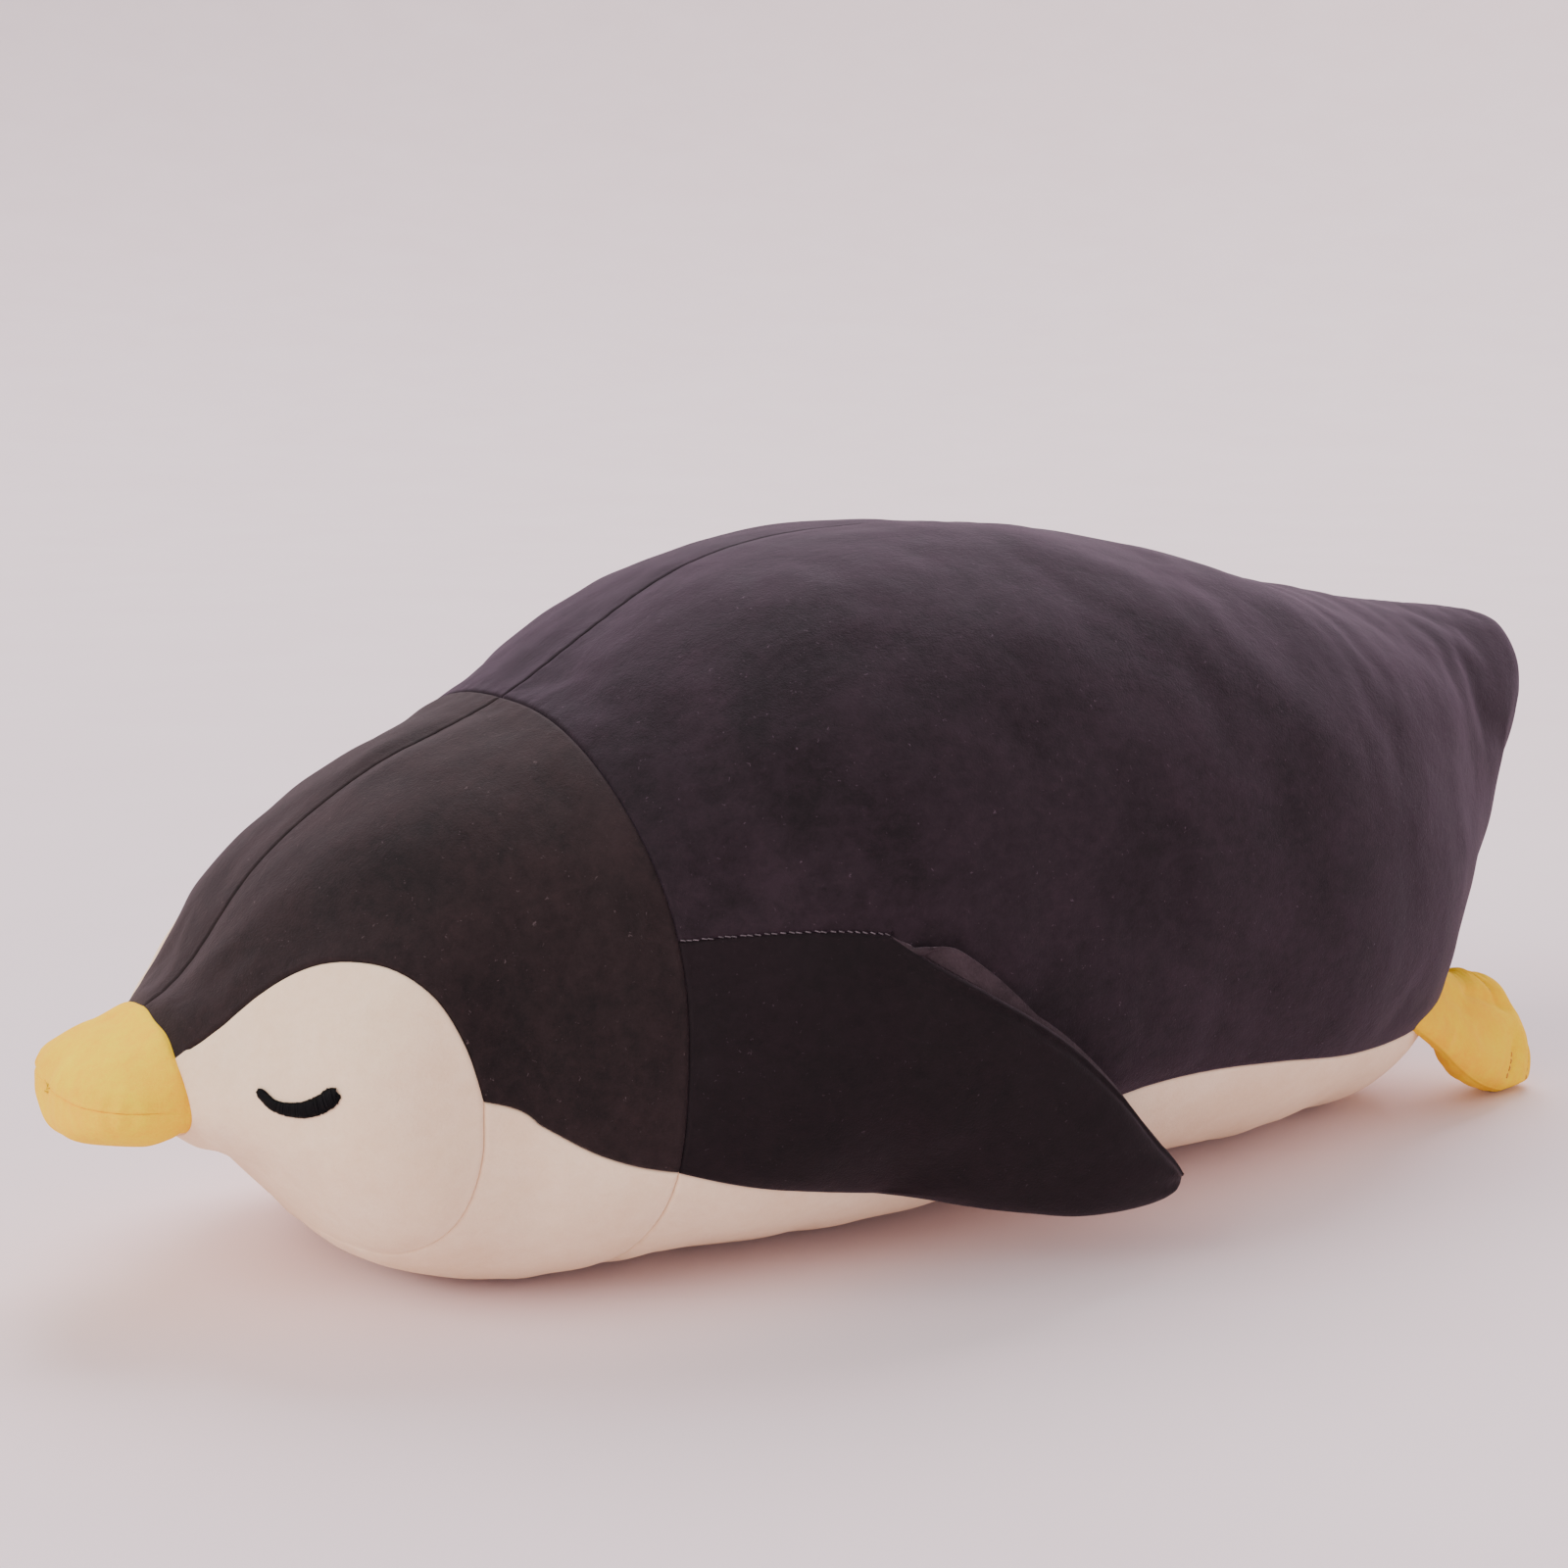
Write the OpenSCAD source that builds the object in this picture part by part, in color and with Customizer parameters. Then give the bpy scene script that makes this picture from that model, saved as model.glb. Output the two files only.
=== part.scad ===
// Plush penguin that lies on its belly: velvet panels sewn edge to edge round a soft filling,
// a padded beak, two flippers that swing out from the flanks and two feet that flex at the ankle.
// +Y runs from beak to tail, +X is the penguin's left side, +Z is up, z = 0 is the resting plane.

/* [Body] */
// Overall length from beak tip to tail tip
toy_length = 800; // [640:10:960]
// Greatest width of the body without the flippers
body_width = 350; // [320:5:380]
// Height of the back above the resting plane
body_height = 304; // [284:2:324]
// Thickness of a velvet panel with its backing
skin = 2; // [1.6:0.1:2.4]
// Clearance between a panel and the filling it covers
fill_gap = 1; // [0.8:0.1:1.4]

/* [Eye] */
// Width of the embroidered band at its middle
eye_band = 5; // [3:0.5:7]
// How far the embroidery stands above the panel
eye_relief = 1.2; // [0.8:0.1:1.6]

/* [Flipper] */
// How far the outer face stands proud of its seam edges
flipper_crown = 12; // [6:1:16]
// How far the inner face stands proud of its seam edges
flipper_back = 9; // [4:1:12]
// Rise of the sewn-down root at the fold
root_rise = 5; // [4:0.5:6]

/* [Foot] */
// Half width of the foot at its broadest
foot_half_width = 32; // [26:1:33]
// Half thickness of the foot at the ball
foot_half_height = 15; // [11:1:17]

/* [Hidden] */

// The tables below are drawn for this size and stretched to the driving dimensions.
design_length = 800;
design_width = 350;
design_height = 304;
stretch = [body_width / design_width, toy_length / design_length, body_height / design_height];

// Cross-sections from the beak's base to the tail tip. Each leans from a bottom point to a top
// point in the middle plane: [top y, top z, bottom y, bottom z, half width, height fraction of
// the broadest place, roundness exponent (2 is an ellipse)]
SECTIONS = [
    [-360, 119, -355,  68,  52, 0.38, 1.8],
    [-341, 135, -331,  57,  83, 0.40, 2.1],
    [-308, 176, -291,  13, 120, 0.41, 2.2],
    [-261, 209, -242,  -4, 126, 0.42, 2.5],
    [-200, 236, -206,  -4, 146, 0.42, 2.5],
    [-107, 290, -132,  -4, 175, 0.42, 2.3],
    [ -12, 304,  -38,  -4, 173, 0.42, 2.3],
    [  90, 296,   73,  -4, 160, 0.42, 2.3],
    [ 181, 275,  176,  -4, 143, 0.43, 2.3],
    [ 262, 259,  260,   2, 108, 0.46, 2.2],
    [ 318, 252,  312,  59,  69, 0.50, 2.1],
    [ 369, 245,  362, 152,  40, 0.50, 2.0],
    [ 395, 231,  400, 194,  16, 0.50, 2.0]
];
last = len(SECTIONS) - 1;
// Station where the tail starts to close into its rear edge
tail_close = 11.2;

// Seams, as [station, angle]: the angle runs from 0 at the crown to 180 under the belly.
FACE_LOBE = [[0.25, 46], [0.75, 41], [1.25, 38.5], [1.75, 42], [2.2, 51], [2.5, 63], [2.66, 75], [2.74, 86]];
CHEEK_SEAM = [[2.74, 86], [2.65, 96], [2.45, 113], [2.15, 132], [1.8, 155], [1.65, 180]];
BELLY_SEAM_FRONT = [[2.74, 86], [3.2, 91], [3.65, 98], [4.19, 107]];
BELLY_SEAM_FLIPPER = [[4.19, 107], [4.7, 119], [5.33, 129.5]];
BELLY_SEAM_REAR = [[5.33, 129.5], [5.9, 124], [6.6, 114], [7.4, 114.5], [8.1, 118.5], [8.8, 121], [9.6, 132], [10.02, 162]];
BELLY_TIP = [10.1, 180];
FLIPPER_TOP = [[4.155, 72], [4.6, 76.5], [5.08, 81]];
FOLD = [[5.08, 81], [5.18, 105], [5.33, 129.5]];
EYE_LINE = [[0.955, 74.7], [1.075, 80.9], [1.28, 81.8], [1.465, 79.3], [1.625, 75.4]];

// Free edges of the left flipper from the fold to the tip
FLIPPER_UPPER = [[181, -110, 154], [184, -97, 144], [188, -77, 131], [190, -56, 118], [190, -35, 103],
                 [188, -12, 82], [185, 10, 58], [181, 31, 40]];
FLIPPER_LOWER = [[148, -98, 37], [152, -81, 34], [161, -56, 29], [168, -38, 26], [173, -19, 23],
                 [177, 1, 23], [179, 18, 25], [180, 31, 29]];

// Centre line of the left foot from the ankle seam to the toes
FOOT_LINE = [[78, 284, 45], [71, 301, 38], [64, 321, 30], [60, 340, 26.5], [57, 359, 26]];
// Which way the foot's outer edge lies from its centre line, at the ankle and at the toes
ankle_outwards = [0.66, -0.66, -0.3];
toes_outwards = [0.53, 0, -0.85];

// Beak: place of its side seam, size of its base and how blunt each outline is
beak_y = -357.5;
beak_seam_z = [88, 91.5];
beak_half_width = 53;
beak_length = 42.3;
beak_upper_height = 30.5;
beak_lower_height = 20;
beak_lean = [3, -2];
beak_plan_power = 3.2;
beak_upper_power = 1.55;
beak_lower_power = 5;
beak_roof_power = 1.6;

seam_inset = 0.0032;

function lerp(a, b, s) = a + (b - a) * s;
function cut(v, low, high) = min(max(v, low), high);
function smooth(v) = let(s = cut(v, 0, 1)) s * s * (3 - 2 * s);

// Point on a smooth curve through the listed points, s from 0 to 1
function along(points, s) =
    let(n = len(points) - 1,
        x = cut(s, 0, 1) * n,
        i = min(floor(x), n - 1),
        f = x - i,
        b = points[i],
        c = points[i + 1],
        a = i > 0 ? points[i - 1] : 2 * b - c,
        d = i < n - 1 ? points[i + 2] : 2 * c - b)
    (2 * b + (c - a) * f + (2 * a - 5 * b + 4 * c - d) * f * f + (3 * b - a - 3 * c + d) * f * f * f) / 2;

function rounded(v, e) = sign(v) * pow(abs(v), 2 / e);

// Body surface before the resting plane flattens it
function body_point(t, angle) =
    let(s = along(SECTIONS, t / last),
        up = rounded(cos(angle), s[6]),
        g = up > 0 ? s[5] + (1 - s[5]) * up : s[5] * (1 + up),
        closing = t > tail_close ? sqrt(max(0, 1 - pow((t - tail_close) / (last - tail_close), 2))) : 1)
    [s[4] * rounded(sin(angle), s[6]) * closing * stretch.x,
     lerp(s[2], s[0], g) * stretch.y,
     lerp(s[3], s[1], g) * stretch.z];

function flattened(p, floor_z) = [p.x, p.y, max(p.z, floor_z)];

// Station along the body where the collar seam crosses the given angle
function collar(angle) =
    let(a = angle > 180 ? 360 - angle : angle)
    4 + 0.19 * pow(sin(min(a, 90)), 4) - (a > 107 ? 0.07 * smooth((a - 107) / 40) : 0);

// Panel chart bounded by four seams
function coons(low, high, front, rear, u, v) =
    lerp(low(u), high(u), v) + lerp(front(v), rear(v), u)
    - lerp(lerp(low(0), low(1), u), lerp(high(0), high(1), u), v);

function inward(s) = lerp(seam_inset, 1 - seam_inset, s);

// Outward normal of the surface f at (u, v)
function normal(f, u, v, h = 0.004) =
    let(du = f(min(u + h, 1), v) - f(max(u - h, 0), v),
        dv = f(u, min(v + h, 1)) - f(u, max(v - h, 0)),
        n = cross(dv, du))
    n / max(norm(n), 1e-9);

function raised(f, u, v, rise, flip = false) = f(u, v) + normal(f, u, v) * (flip ? -rise : rise);

// Closed sheet between two grids of points of the same size
module sheet(nu, nv, outer, inner, flip = false) {
    row = nv + 1;
    count = (nu + 1) * row;
    points = concat([for (i = [0:nu]) for (j = [0:nv]) outer(i / nu, j / nv)],
                    [for (i = [0:nu]) for (j = [0:nv]) inner(i / nu, j / nv)]);
    quads = concat(
        [for (i = [0:nu - 1]) for (j = [0:nv - 1]) let(a = i * row + j) [a, a + row, a + row + 1, a + 1]],
        [for (i = [0:nu - 1]) for (j = [0:nv - 1]) let(a = count + i * row + j) [a, a + 1, a + row + 1, a + row]],
        [for (i = [0:nu - 1]) let(a = i * row) [a + row, a, a + count, a + row + count]],
        [for (i = [0:nu - 1]) let(a = i * row + nv) [a, a + row, a + row + count, a + count]],
        [for (j = [0:nv - 1]) [j, j + 1, j + 1 + count, j + count]],
        [for (j = [0:nv - 1]) let(a = nu * row + j) [a + 1, a, a + count, a + 1 + count]]);
    faces = [for (q = quads) each [[q[0], q[1], q[2]], [q[0], q[2], q[3]]]];
    polyhedron(points = points, faces = flip ? [for (f = faces) [f[2], f[1], f[0]]] : faces, convexity = 6);
}

// Sewn panel of the body skin; rise(u, v) lifts its outer face
module skin_panel(nu, nv, chart, flip = false, rise = function(u, v) 0, inset = seam_inset) {
    f = function(u, v)
        let(c = chart(lerp(inset, 1 - inset, u), lerp(inset, 1 - inset, v)))
        body_point(c[0], c[1]);
    sheet(nu, nv,
          function(u, v) flattened(raised(f, u, v, rise(u, v), flip), 0),
          function(u, v) flattened(raised(f, u, v, -skin, flip), skin),
          flip);
}

module both_sides(left) {
    if (left) children();
    else mirror([1, 0, 0]) children();
}

// ---- head ----

// One step beside the beak, ten round the face and six along the throat
function hood_edge(u) =
    u * 17 < 1 ? lerp([0, 50], FACE_LOBE[0], u * 17) :
    u * 17 < 11 ? along(FACE_LOBE, (u * 17 - 1) / 10) : along(BELLY_SEAM_FRONT, min(1, (u * 17 - 11) / 6));

module hood_panel(left) {
    low = function(u) [lerp(0, collar(0), u), 0.1];
    high = function(u) hood_edge(u);
    front = function(v) [0, lerp(0.1, 50, v)];
    rear = function(v) let(a = lerp(0.1, 107, v)) [collar(a), a];
    color("#423336") both_sides(left)
        skin_panel(17, 10, function(u, v) coons(low, high, front, rear, u, v));
}

module face_panel(left) {
    low = function(u) [0, lerp(50, 180, u)];
    corner = 10 / 18;
    high = function(u) u < corner ? along(FACE_LOBE, u / corner) : along(CHEEK_SEAM, (u - corner) / (1 - corner));
    front = function(v) lerp([0, 50], FACE_LOBE[0], v);
    rear = function(v) [lerp(0, CHEEK_SEAM[5][0], v), 180];
    color("#dacdc2") both_sides(left)
        skin_panel(18, 8, function(u, v) coons(low, high, front, rear, u, v), flip = true);
}

module eye_embroidery(left) {
    // Degrees that one millimetre across the band takes up at the eye
    degrees_per_mm = 0.95;
    band = function(u, v)
        let(c = along(EYE_LINE, u),
            half = eye_band / 2 * degrees_per_mm * (0.72 + 0.28 * sin(180 * u)))
        [c[0], c[1] + half * (2 * v - 1)];
    f = function(u, v) let(c = band(u, v)) body_point(c[0], c[1]);
    color("#1a1416") both_sides(left)
        sheet(14, 4,
              function(u, v) raised(f, u, v, 0.3 + eye_relief * (0.5 + 0.5 * sin(180 * v))),
              function(u, v) raised(f, u, v, 0.3));
}

module throat_panel() {
    other = function(c) [c[0], 360 - c[1]];
    low = function(u) along(BELLY_SEAM_FRONT, u);
    high = function(u) other(low(u));
    front = function(v) v < 0.5 ? along(CHEEK_SEAM, 2 * v) : other(along(CHEEK_SEAM, 2 - 2 * v));
    rear = function(v) let(a = lerp(107, 253, v)) [collar(a), a];
    color("#dacdc2")
        skin_panel(6, 16, function(u, v) coons(low, high, front, rear, u, v));
}

// ---- beak ----

// Beak surface: s runs from the base to the tip, angle as on the body
function beak_point(s, angle) =
    let(roof = cos(angle) > 0 ? lerp(beak_roof_power, 2.1, s) : 2.1,
        across = rounded(sin(angle), roof),
        up = rounded(cos(angle), roof),
        taper = function(power) pow(max(0, 1 - pow(s, power)), 1 / power),
        lean = (up > 0 ? beak_lean[0] : beak_lean[1]) * abs(up),
        rise = up > 0 ? beak_upper_height * taper(beak_upper_power) : beak_lower_height * taper(beak_lower_power))
    [beak_half_width * taper(beak_plan_power) * across * stretch.x,
     (beak_y - lean - (beak_length - lean) * s) * stretch.y,
     (lerp(beak_seam_z[0], beak_seam_z[1], s) + rise * up) * stretch.z];

// Even steps to the start of the nose, then steps that follow its blunt outline to a closed tip
nose_start = 0.8;
function towards_tip(u) =
    u < 0.5 ? 2 * u * nose_start
    : let(w = lerp(pow(1 - pow(nose_start, 5), 0.2), 0.01, 2 * u - 1)) pow(1 - pow(w, 5), 0.2);

module beak_half(from_angle) {
    f = function(u, v) beak_point(towards_tip(u), from_angle + 180 * inward(v));
    color("#fddc65")
        sheet(10, 14,
              function(u, v) raised(f, u, v, 0, true),
              function(u, v) raised(f, u, v, skin, false),
              true);
}

module beak_upper_panel() { beak_half(-90); }
module beak_lower_panel() { beak_half(90); }

module beak_stuffing() {
    shrink = 1 - (skin + fill_gap) / 21;
    centre = [0, beak_y - 10, 89];
    f = function(u, v) let(p = beak_point(0.95 * (1 - pow(1 - u, 2)), 360 * v)) centre + (p - centre) * shrink;
    color("white") tube_solid(8, 20, f);
}

// Closed solid through rings of points f(u, v), flat at both ends
module tube_solid(nu, nv, f, flip = false) {
    points = [for (i = [0:nu]) for (j = [0:nv - 1]) f(i / nu, j / nv)];
    sides = [for (i = [0:nu - 1]) for (j = [0:nv - 1])
        let(a = i * nv + j, b = i * nv + (j + 1) % nv) each [[a, b, b + nv], [a, b + nv, a + nv]]];
    caps = concat([for (j = [1:nv - 2]) [0, j + 1, j]],
                  [for (j = [1:nv - 2]) let(a = nu * nv) [a, a + j, a + j + 1]]);
    faces = concat(sides, caps);
    polyhedron(points = points, faces = flip ? [for (f = faces) [f[2], f[1], f[0]]] : faces, convexity = 6);
}

// ---- body ----

function back_edge(u) =
    u < 0.125 ? along(FLIPPER_TOP, u / 0.125)
    : u < 0.275 ? along(FOLD, (u - 0.125) / 0.15)
    : u < 0.8 ? along(BELLY_SEAM_REAR, (u - 0.275) / 0.525)
    : u < 0.825 ? lerp(BELLY_SEAM_REAR[7], [BELLY_TIP[0], 179.9], (u - 0.8) / 0.025)
    : [lerp(BELLY_TIP[0], last, (u - 0.825) / 0.175), 179.9];

module back_panel(left) {
    low = function(u) [lerp(collar(0), last, u), 0.1];
    high = function(u) back_edge(u);
    front = function(v) let(a = lerp(0.1, 72, v)) [collar(a), a];
    rear = function(v) [last, lerp(0.1, 179.9, v)];
    color("#372a33") both_sides(left)
        skin_panel(40, 16, function(u, v) coons(low, high, front, rear, u, v));
}

module belly_panel() {
    other = function(c) [c[0], 360 - c[1]];
    corner = 5 / 26;
    low = function(u) u < corner ? along(BELLY_SEAM_FLIPPER, u / corner)
                                 : along(BELLY_SEAM_REAR, (u - corner) / (1 - corner));
    high = function(u) other(low(u));
    front = function(v) let(a = lerp(107, 253, v)) [collar(a), a];
    rear = function(v) [lerp(10.02, BELLY_TIP[0], sin(180 * v)), lerp(162, 198, v)];
    color("#dacdc2")
        skin_panel(26, 18, function(u, v) coons(low, high, front, rear, u, v));
}

module body_stuffing() {
    // The flat facets of the panels cut inside the curve, so the filling keeps twice the clearance
    inset = skin + 2.2 * fill_gap;
    f = function(u, v) body_point(lerp(0.07, 11.7, u), 360 * v);
    color("white")
        tube_solid(30, 36, function(u, v) flattened(raised(f, u, v, -inset), inset), flip = true);
}

// Ladder stitches that close the filling opening in the right belly seam
module closing_stitches() {
    stitch_count = 9;
    color("#2a2226")
        for (i = [0:stitch_count - 1]) {
            c = along(BELLY_SEAM_REAR, 0.5 + 0.012 * i);
            f = function(u, v) body_point(c[0], 360 - c[1] + 2.4 * (v - 0.5));
            a = f(0, 0);
            b = f(0, 1);
            side = (b - a) / norm(b - a);
            out = cross(side, [0, 1, 0]);
            thread(a + out * 0.7, b + out * 0.7, 0.8);
        }
}

module thread(a, b, d) {
    w = b - a;
    translate(a) rotate([0, acos(w.z / norm(w)), atan2(w.y, w.x)]) cylinder(d = d, h = norm(w), $fn = 16);
}

// ---- flippers ----

module flipper_root_panel(left) {
    low = function(u) along(FLIPPER_TOP, u);
    high = function(u) along(BELLY_SEAM_FLIPPER, u);
    front = function(v) let(a = lerp(72, 107, v)) [collar(a), a];
    rear = function(v) along(FOLD, v);
    color("#21181b") both_sides(left)
        skin_panel(10, 6, function(u, v) coons(low, high, front, rear, u, v),
                   rise = function(u, v) root_rise * smooth(u) * sqrt(4 * v * (1 - v)), inset = 0.009);
}

// Station of the flank at the given place, by halving
function flank_station(y, z, low = 3, high = 9, turns = 14) =
    turns == 0 ? (low + high) / 2
    : let(t = (low + high) / 2,
          s = along(SECTIONS, t / last),
          g = (z - s[3]) / (s[1] - s[3]))
      lerp(s[2], s[0], g) < y ? flank_station(y, z, t, high, turns - 1)
                              : flank_station(y, z, low, t, turns - 1);

// Distance of the flank from the middle plane at the given place
function flank(y, z) =
    let(s = along(SECTIONS, flank_station(y, z) / last),
        g = (z - s[3]) / (s[1] - s[3]),
        up = g > s[5] ? (g - s[5]) / (1 - s[5]) : (s[5] - g) / s[5])
    s[4] * pow(max(0, 1 - pow(min(up, 1), s[6])), 1 / s[6]);

// Middle sheet of the flipper: s from fold to tip, r from lower to upper edge
function flipper_middle(s, r) =
    let(chord = lerp(along(FLIPPER_LOWER, s), along(FLIPPER_UPPER, s), r),
        fold = flank(chord.y, chord.z) + root_rise - skin)
    [lerp(chord.x, max(chord.x, fold), pow(1 - s, 3)), chord.y, chord.z];

function flipper_fullness(s, r) = sqrt(max(0, 4 * r * (1 - r))) * smooth(s * 4) * sqrt(1 - pow(s, 4));

function flipper_outer_x(s, r) =
    flipper_middle(s, r).x + skin + fill_gap / 2 + flipper_crown * flipper_fullness(s, r);

function flipper_inner_x(s, r) =
    let(p = flipper_middle(s, r))
    max(p.x - skin - fill_gap / 2 - flipper_back * flipper_fullness(s, r), flank(p.y, p.z) + 0.6);

// Layer of the flipper between two offsets: side 1 from the outer face, side 0 from the inner face
function flipper_layer(s, r, side, depth) =
    let(p = flipper_middle(s, r),
        x = side > 0 ? flipper_outer_x(s, r) - depth : flipper_inner_x(s, r) + depth)
    [x * stretch.x, p.y * stretch.y, p.z * stretch.z];

// The free part starts a little behind the fold
function free_part(u) = lerp(0.02, 1, u);

module flipper_outer_panel(left) {
    color("#21181b") both_sides(left)
        sheet(12, 10,
              function(u, v) flipper_layer(free_part(u), v, 1, 0),
              function(u, v) flipper_layer(free_part(u), v, 1, skin), true);
}

module flipper_inner_panel(left) {
    color("#372a33") both_sides(left)
        sheet(12, 10,
              function(u, v) flipper_layer(free_part(u), v, 0, skin),
              function(u, v) flipper_layer(free_part(u), v, 0, 0), true);
}

module flipper_stuffing(left) {
    inset = skin + fill_gap + 0.6;
    span = function(u) lerp(0.14, 0.92, u);
    across = function(v) lerp(0.1, 0.9, v);
    color("white") both_sides(left)
        sheet(10, 8,
              function(u, v) flipper_layer(span(u), across(v), 1, inset),
              function(u, v) flipper_layer(span(u), across(v), 0, inset), true);
}

// ---- feet ----

toe_start = 0.68;

function towards_toe(u) = 1 - pow(1 - u, 1.5);
function unit(w) = w / norm(w);

// Layer of the foot: s from ankle to toes, a from -1 at the inner edge to 1 at the outer edge.
// side is 1 for the upper and -1 for the sole, depth is measured inwards from its outer face.
function foot_layer(s, a, side, depth) =
    let(toe = sqrt(max(0, 1 - pow(max(0, (s - toe_start) / (1 - toe_start)), 2))),
        half_width = foot_half_width * lerp(0.8, 1, smooth(s * 1.8)) * lerp(0.3, 1, toe),
        half_height = foot_half_height * lerp(0.15, 1, smooth(s * 1.6)) * lerp(0.2, 1, toe),
        dome = half_height * sqrt(max(0, 1 - pow(abs(a), 2.6))),
        outwards = unit(lerp(ankle_outwards, toes_outwards, smooth(s * 1.6))),
        ahead = along(FOOT_LINE, min(s + 0.02, 1)) - along(FOOT_LINE, max(s - 0.02, 0)),
        up = unit(cross(outwards, ahead)),
        rim = along(FOOT_LINE, s) + outwards * half_width * a,
        p = flattened(rim, 1.4 * skin) + up * side * (dome + skin + fill_gap / 2 - depth),
        q = flattened(p, side < 0 ? depth : 0))
    [q.x * stretch.x, q.y * stretch.y, q.z * stretch.z];

module foot_panel(left, side) {
    a = function(v) 2 * v - 1;
    color("#efc22e") both_sides(left)
        sheet(12, 12,
              function(u, v) foot_layer(towards_toe(u), a(v), side, side > 0 ? 0 : skin),
              function(u, v) foot_layer(towards_toe(u), a(v), side, side > 0 ? skin : 0));
}

module foot_upper_panel(left) { foot_panel(left, 1); }
module foot_sole_panel(left) { foot_panel(left, -1); }

module foot_stuffing(left) {
    inset = skin + fill_gap;
    span = function(u) lerp(0.16, 0.94, u);
    across = function(v) 0.84 * (2 * v - 1);
    color("white") both_sides(left)
        sheet(8, 10,
              function(u, v) foot_layer(span(u), across(v), 1, inset),
              function(u, v) foot_layer(span(u), across(v), -1, inset));
}

// Two stitched lines that divide the toes, from the outer rim inwards
module toe_stitches(left) {
    line_width = 0.03;
    line_height = 1.2;
    slant = 0.2;
    across = function(u) lerp(0.9, 0.3, u);
    at = function(start, u, v) start + slant * (1 - across(u)) + line_width * (v - 0.5);
    color("#d9a520") both_sides(left)
        for (start = [0.52, 0.74])
            sheet(8, 1,
                  function(u, v) foot_layer(at(start, u, v), across(u), 1, -0.3 - line_height),
                  function(u, v) foot_layer(at(start, u, v), across(u), 1, -0.3));
}

beak_upper_panel();
beak_lower_panel();
beak_stuffing();
hood_panel(left = true);  // hood_panel_left
hood_panel(left = false);  // hood_panel_right
face_panel(left = true);  // face_panel_left
face_panel(left = false);  // face_panel_right
eye_embroidery(left = true);  // eye_embroidery_left
eye_embroidery(left = false);  // eye_embroidery_right
throat_panel();
back_panel(left = true);  // back_panel_left
back_panel(left = false);  // back_panel_right
belly_panel();
body_stuffing();
closing_stitches();
flipper_root_panel(left = true);  // flipper_root_panel_left
flipper_root_panel(left = false);  // flipper_root_panel_right
flipper_outer_panel(left = true);  // flipper_outer_panel_left
flipper_outer_panel(left = false);  // flipper_outer_panel_right
flipper_inner_panel(left = true);  // flipper_inner_panel_left
flipper_inner_panel(left = false);  // flipper_inner_panel_right
flipper_stuffing(left = true);  // flipper_stuffing_left
flipper_stuffing(left = false);  // flipper_stuffing_right
foot_upper_panel(left = true);  // foot_upper_panel_left
foot_upper_panel(left = false);  // foot_upper_panel_right
foot_sole_panel(left = true);  // foot_sole_panel_left
foot_sole_panel(left = false);  // foot_sole_panel_right
foot_stuffing(left = true);  // foot_stuffing_left
foot_stuffing(left = false);  // foot_stuffing_right
toe_stitches(left = true);  // toe_stitches_left
toe_stitches(left = false);  // toe_stitches_right
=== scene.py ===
"""Looks of the plush penguin: velvet panels, seams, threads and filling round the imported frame."""
import math

import bpy
import bmesh
import numpy as np
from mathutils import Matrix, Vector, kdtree


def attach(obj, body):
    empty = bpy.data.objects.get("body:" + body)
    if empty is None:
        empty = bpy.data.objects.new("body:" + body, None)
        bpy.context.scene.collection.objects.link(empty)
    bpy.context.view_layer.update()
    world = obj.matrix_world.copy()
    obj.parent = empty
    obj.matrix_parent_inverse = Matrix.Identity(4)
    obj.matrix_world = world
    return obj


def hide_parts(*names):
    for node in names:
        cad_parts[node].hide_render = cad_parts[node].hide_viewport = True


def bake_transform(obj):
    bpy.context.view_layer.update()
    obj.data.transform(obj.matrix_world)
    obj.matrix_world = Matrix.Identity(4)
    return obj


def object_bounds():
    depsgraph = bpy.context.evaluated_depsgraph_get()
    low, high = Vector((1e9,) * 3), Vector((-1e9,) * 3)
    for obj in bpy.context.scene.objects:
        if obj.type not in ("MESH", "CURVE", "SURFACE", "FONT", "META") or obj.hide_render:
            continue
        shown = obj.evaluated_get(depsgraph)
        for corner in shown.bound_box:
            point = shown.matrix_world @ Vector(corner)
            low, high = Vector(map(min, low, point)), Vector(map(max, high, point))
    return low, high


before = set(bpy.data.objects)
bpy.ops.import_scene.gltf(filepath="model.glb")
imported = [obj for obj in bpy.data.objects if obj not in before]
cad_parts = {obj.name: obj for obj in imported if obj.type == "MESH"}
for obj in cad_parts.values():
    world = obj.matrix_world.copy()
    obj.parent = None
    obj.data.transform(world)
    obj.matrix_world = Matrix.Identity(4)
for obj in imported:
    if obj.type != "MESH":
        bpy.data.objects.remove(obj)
cad_low, cad_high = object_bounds()

# The tables are in millimetres and degrees, for a toy 800 mm long; STRETCH fits them to the frame.
DESIGN_BOX = (0.3967, 0.7995, 0.3040)
SAME_SIZE = 0.004    # a frame as close as this to the design is not stretched
STRETCH = np.array([(cad_high[i] - cad_low[i]) / DESIGN_BOX[i] for i in range(3)])
STRETCH = np.where(abs(STRETCH - 1) < SAME_SIZE, 1.0, STRETCH)

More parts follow.
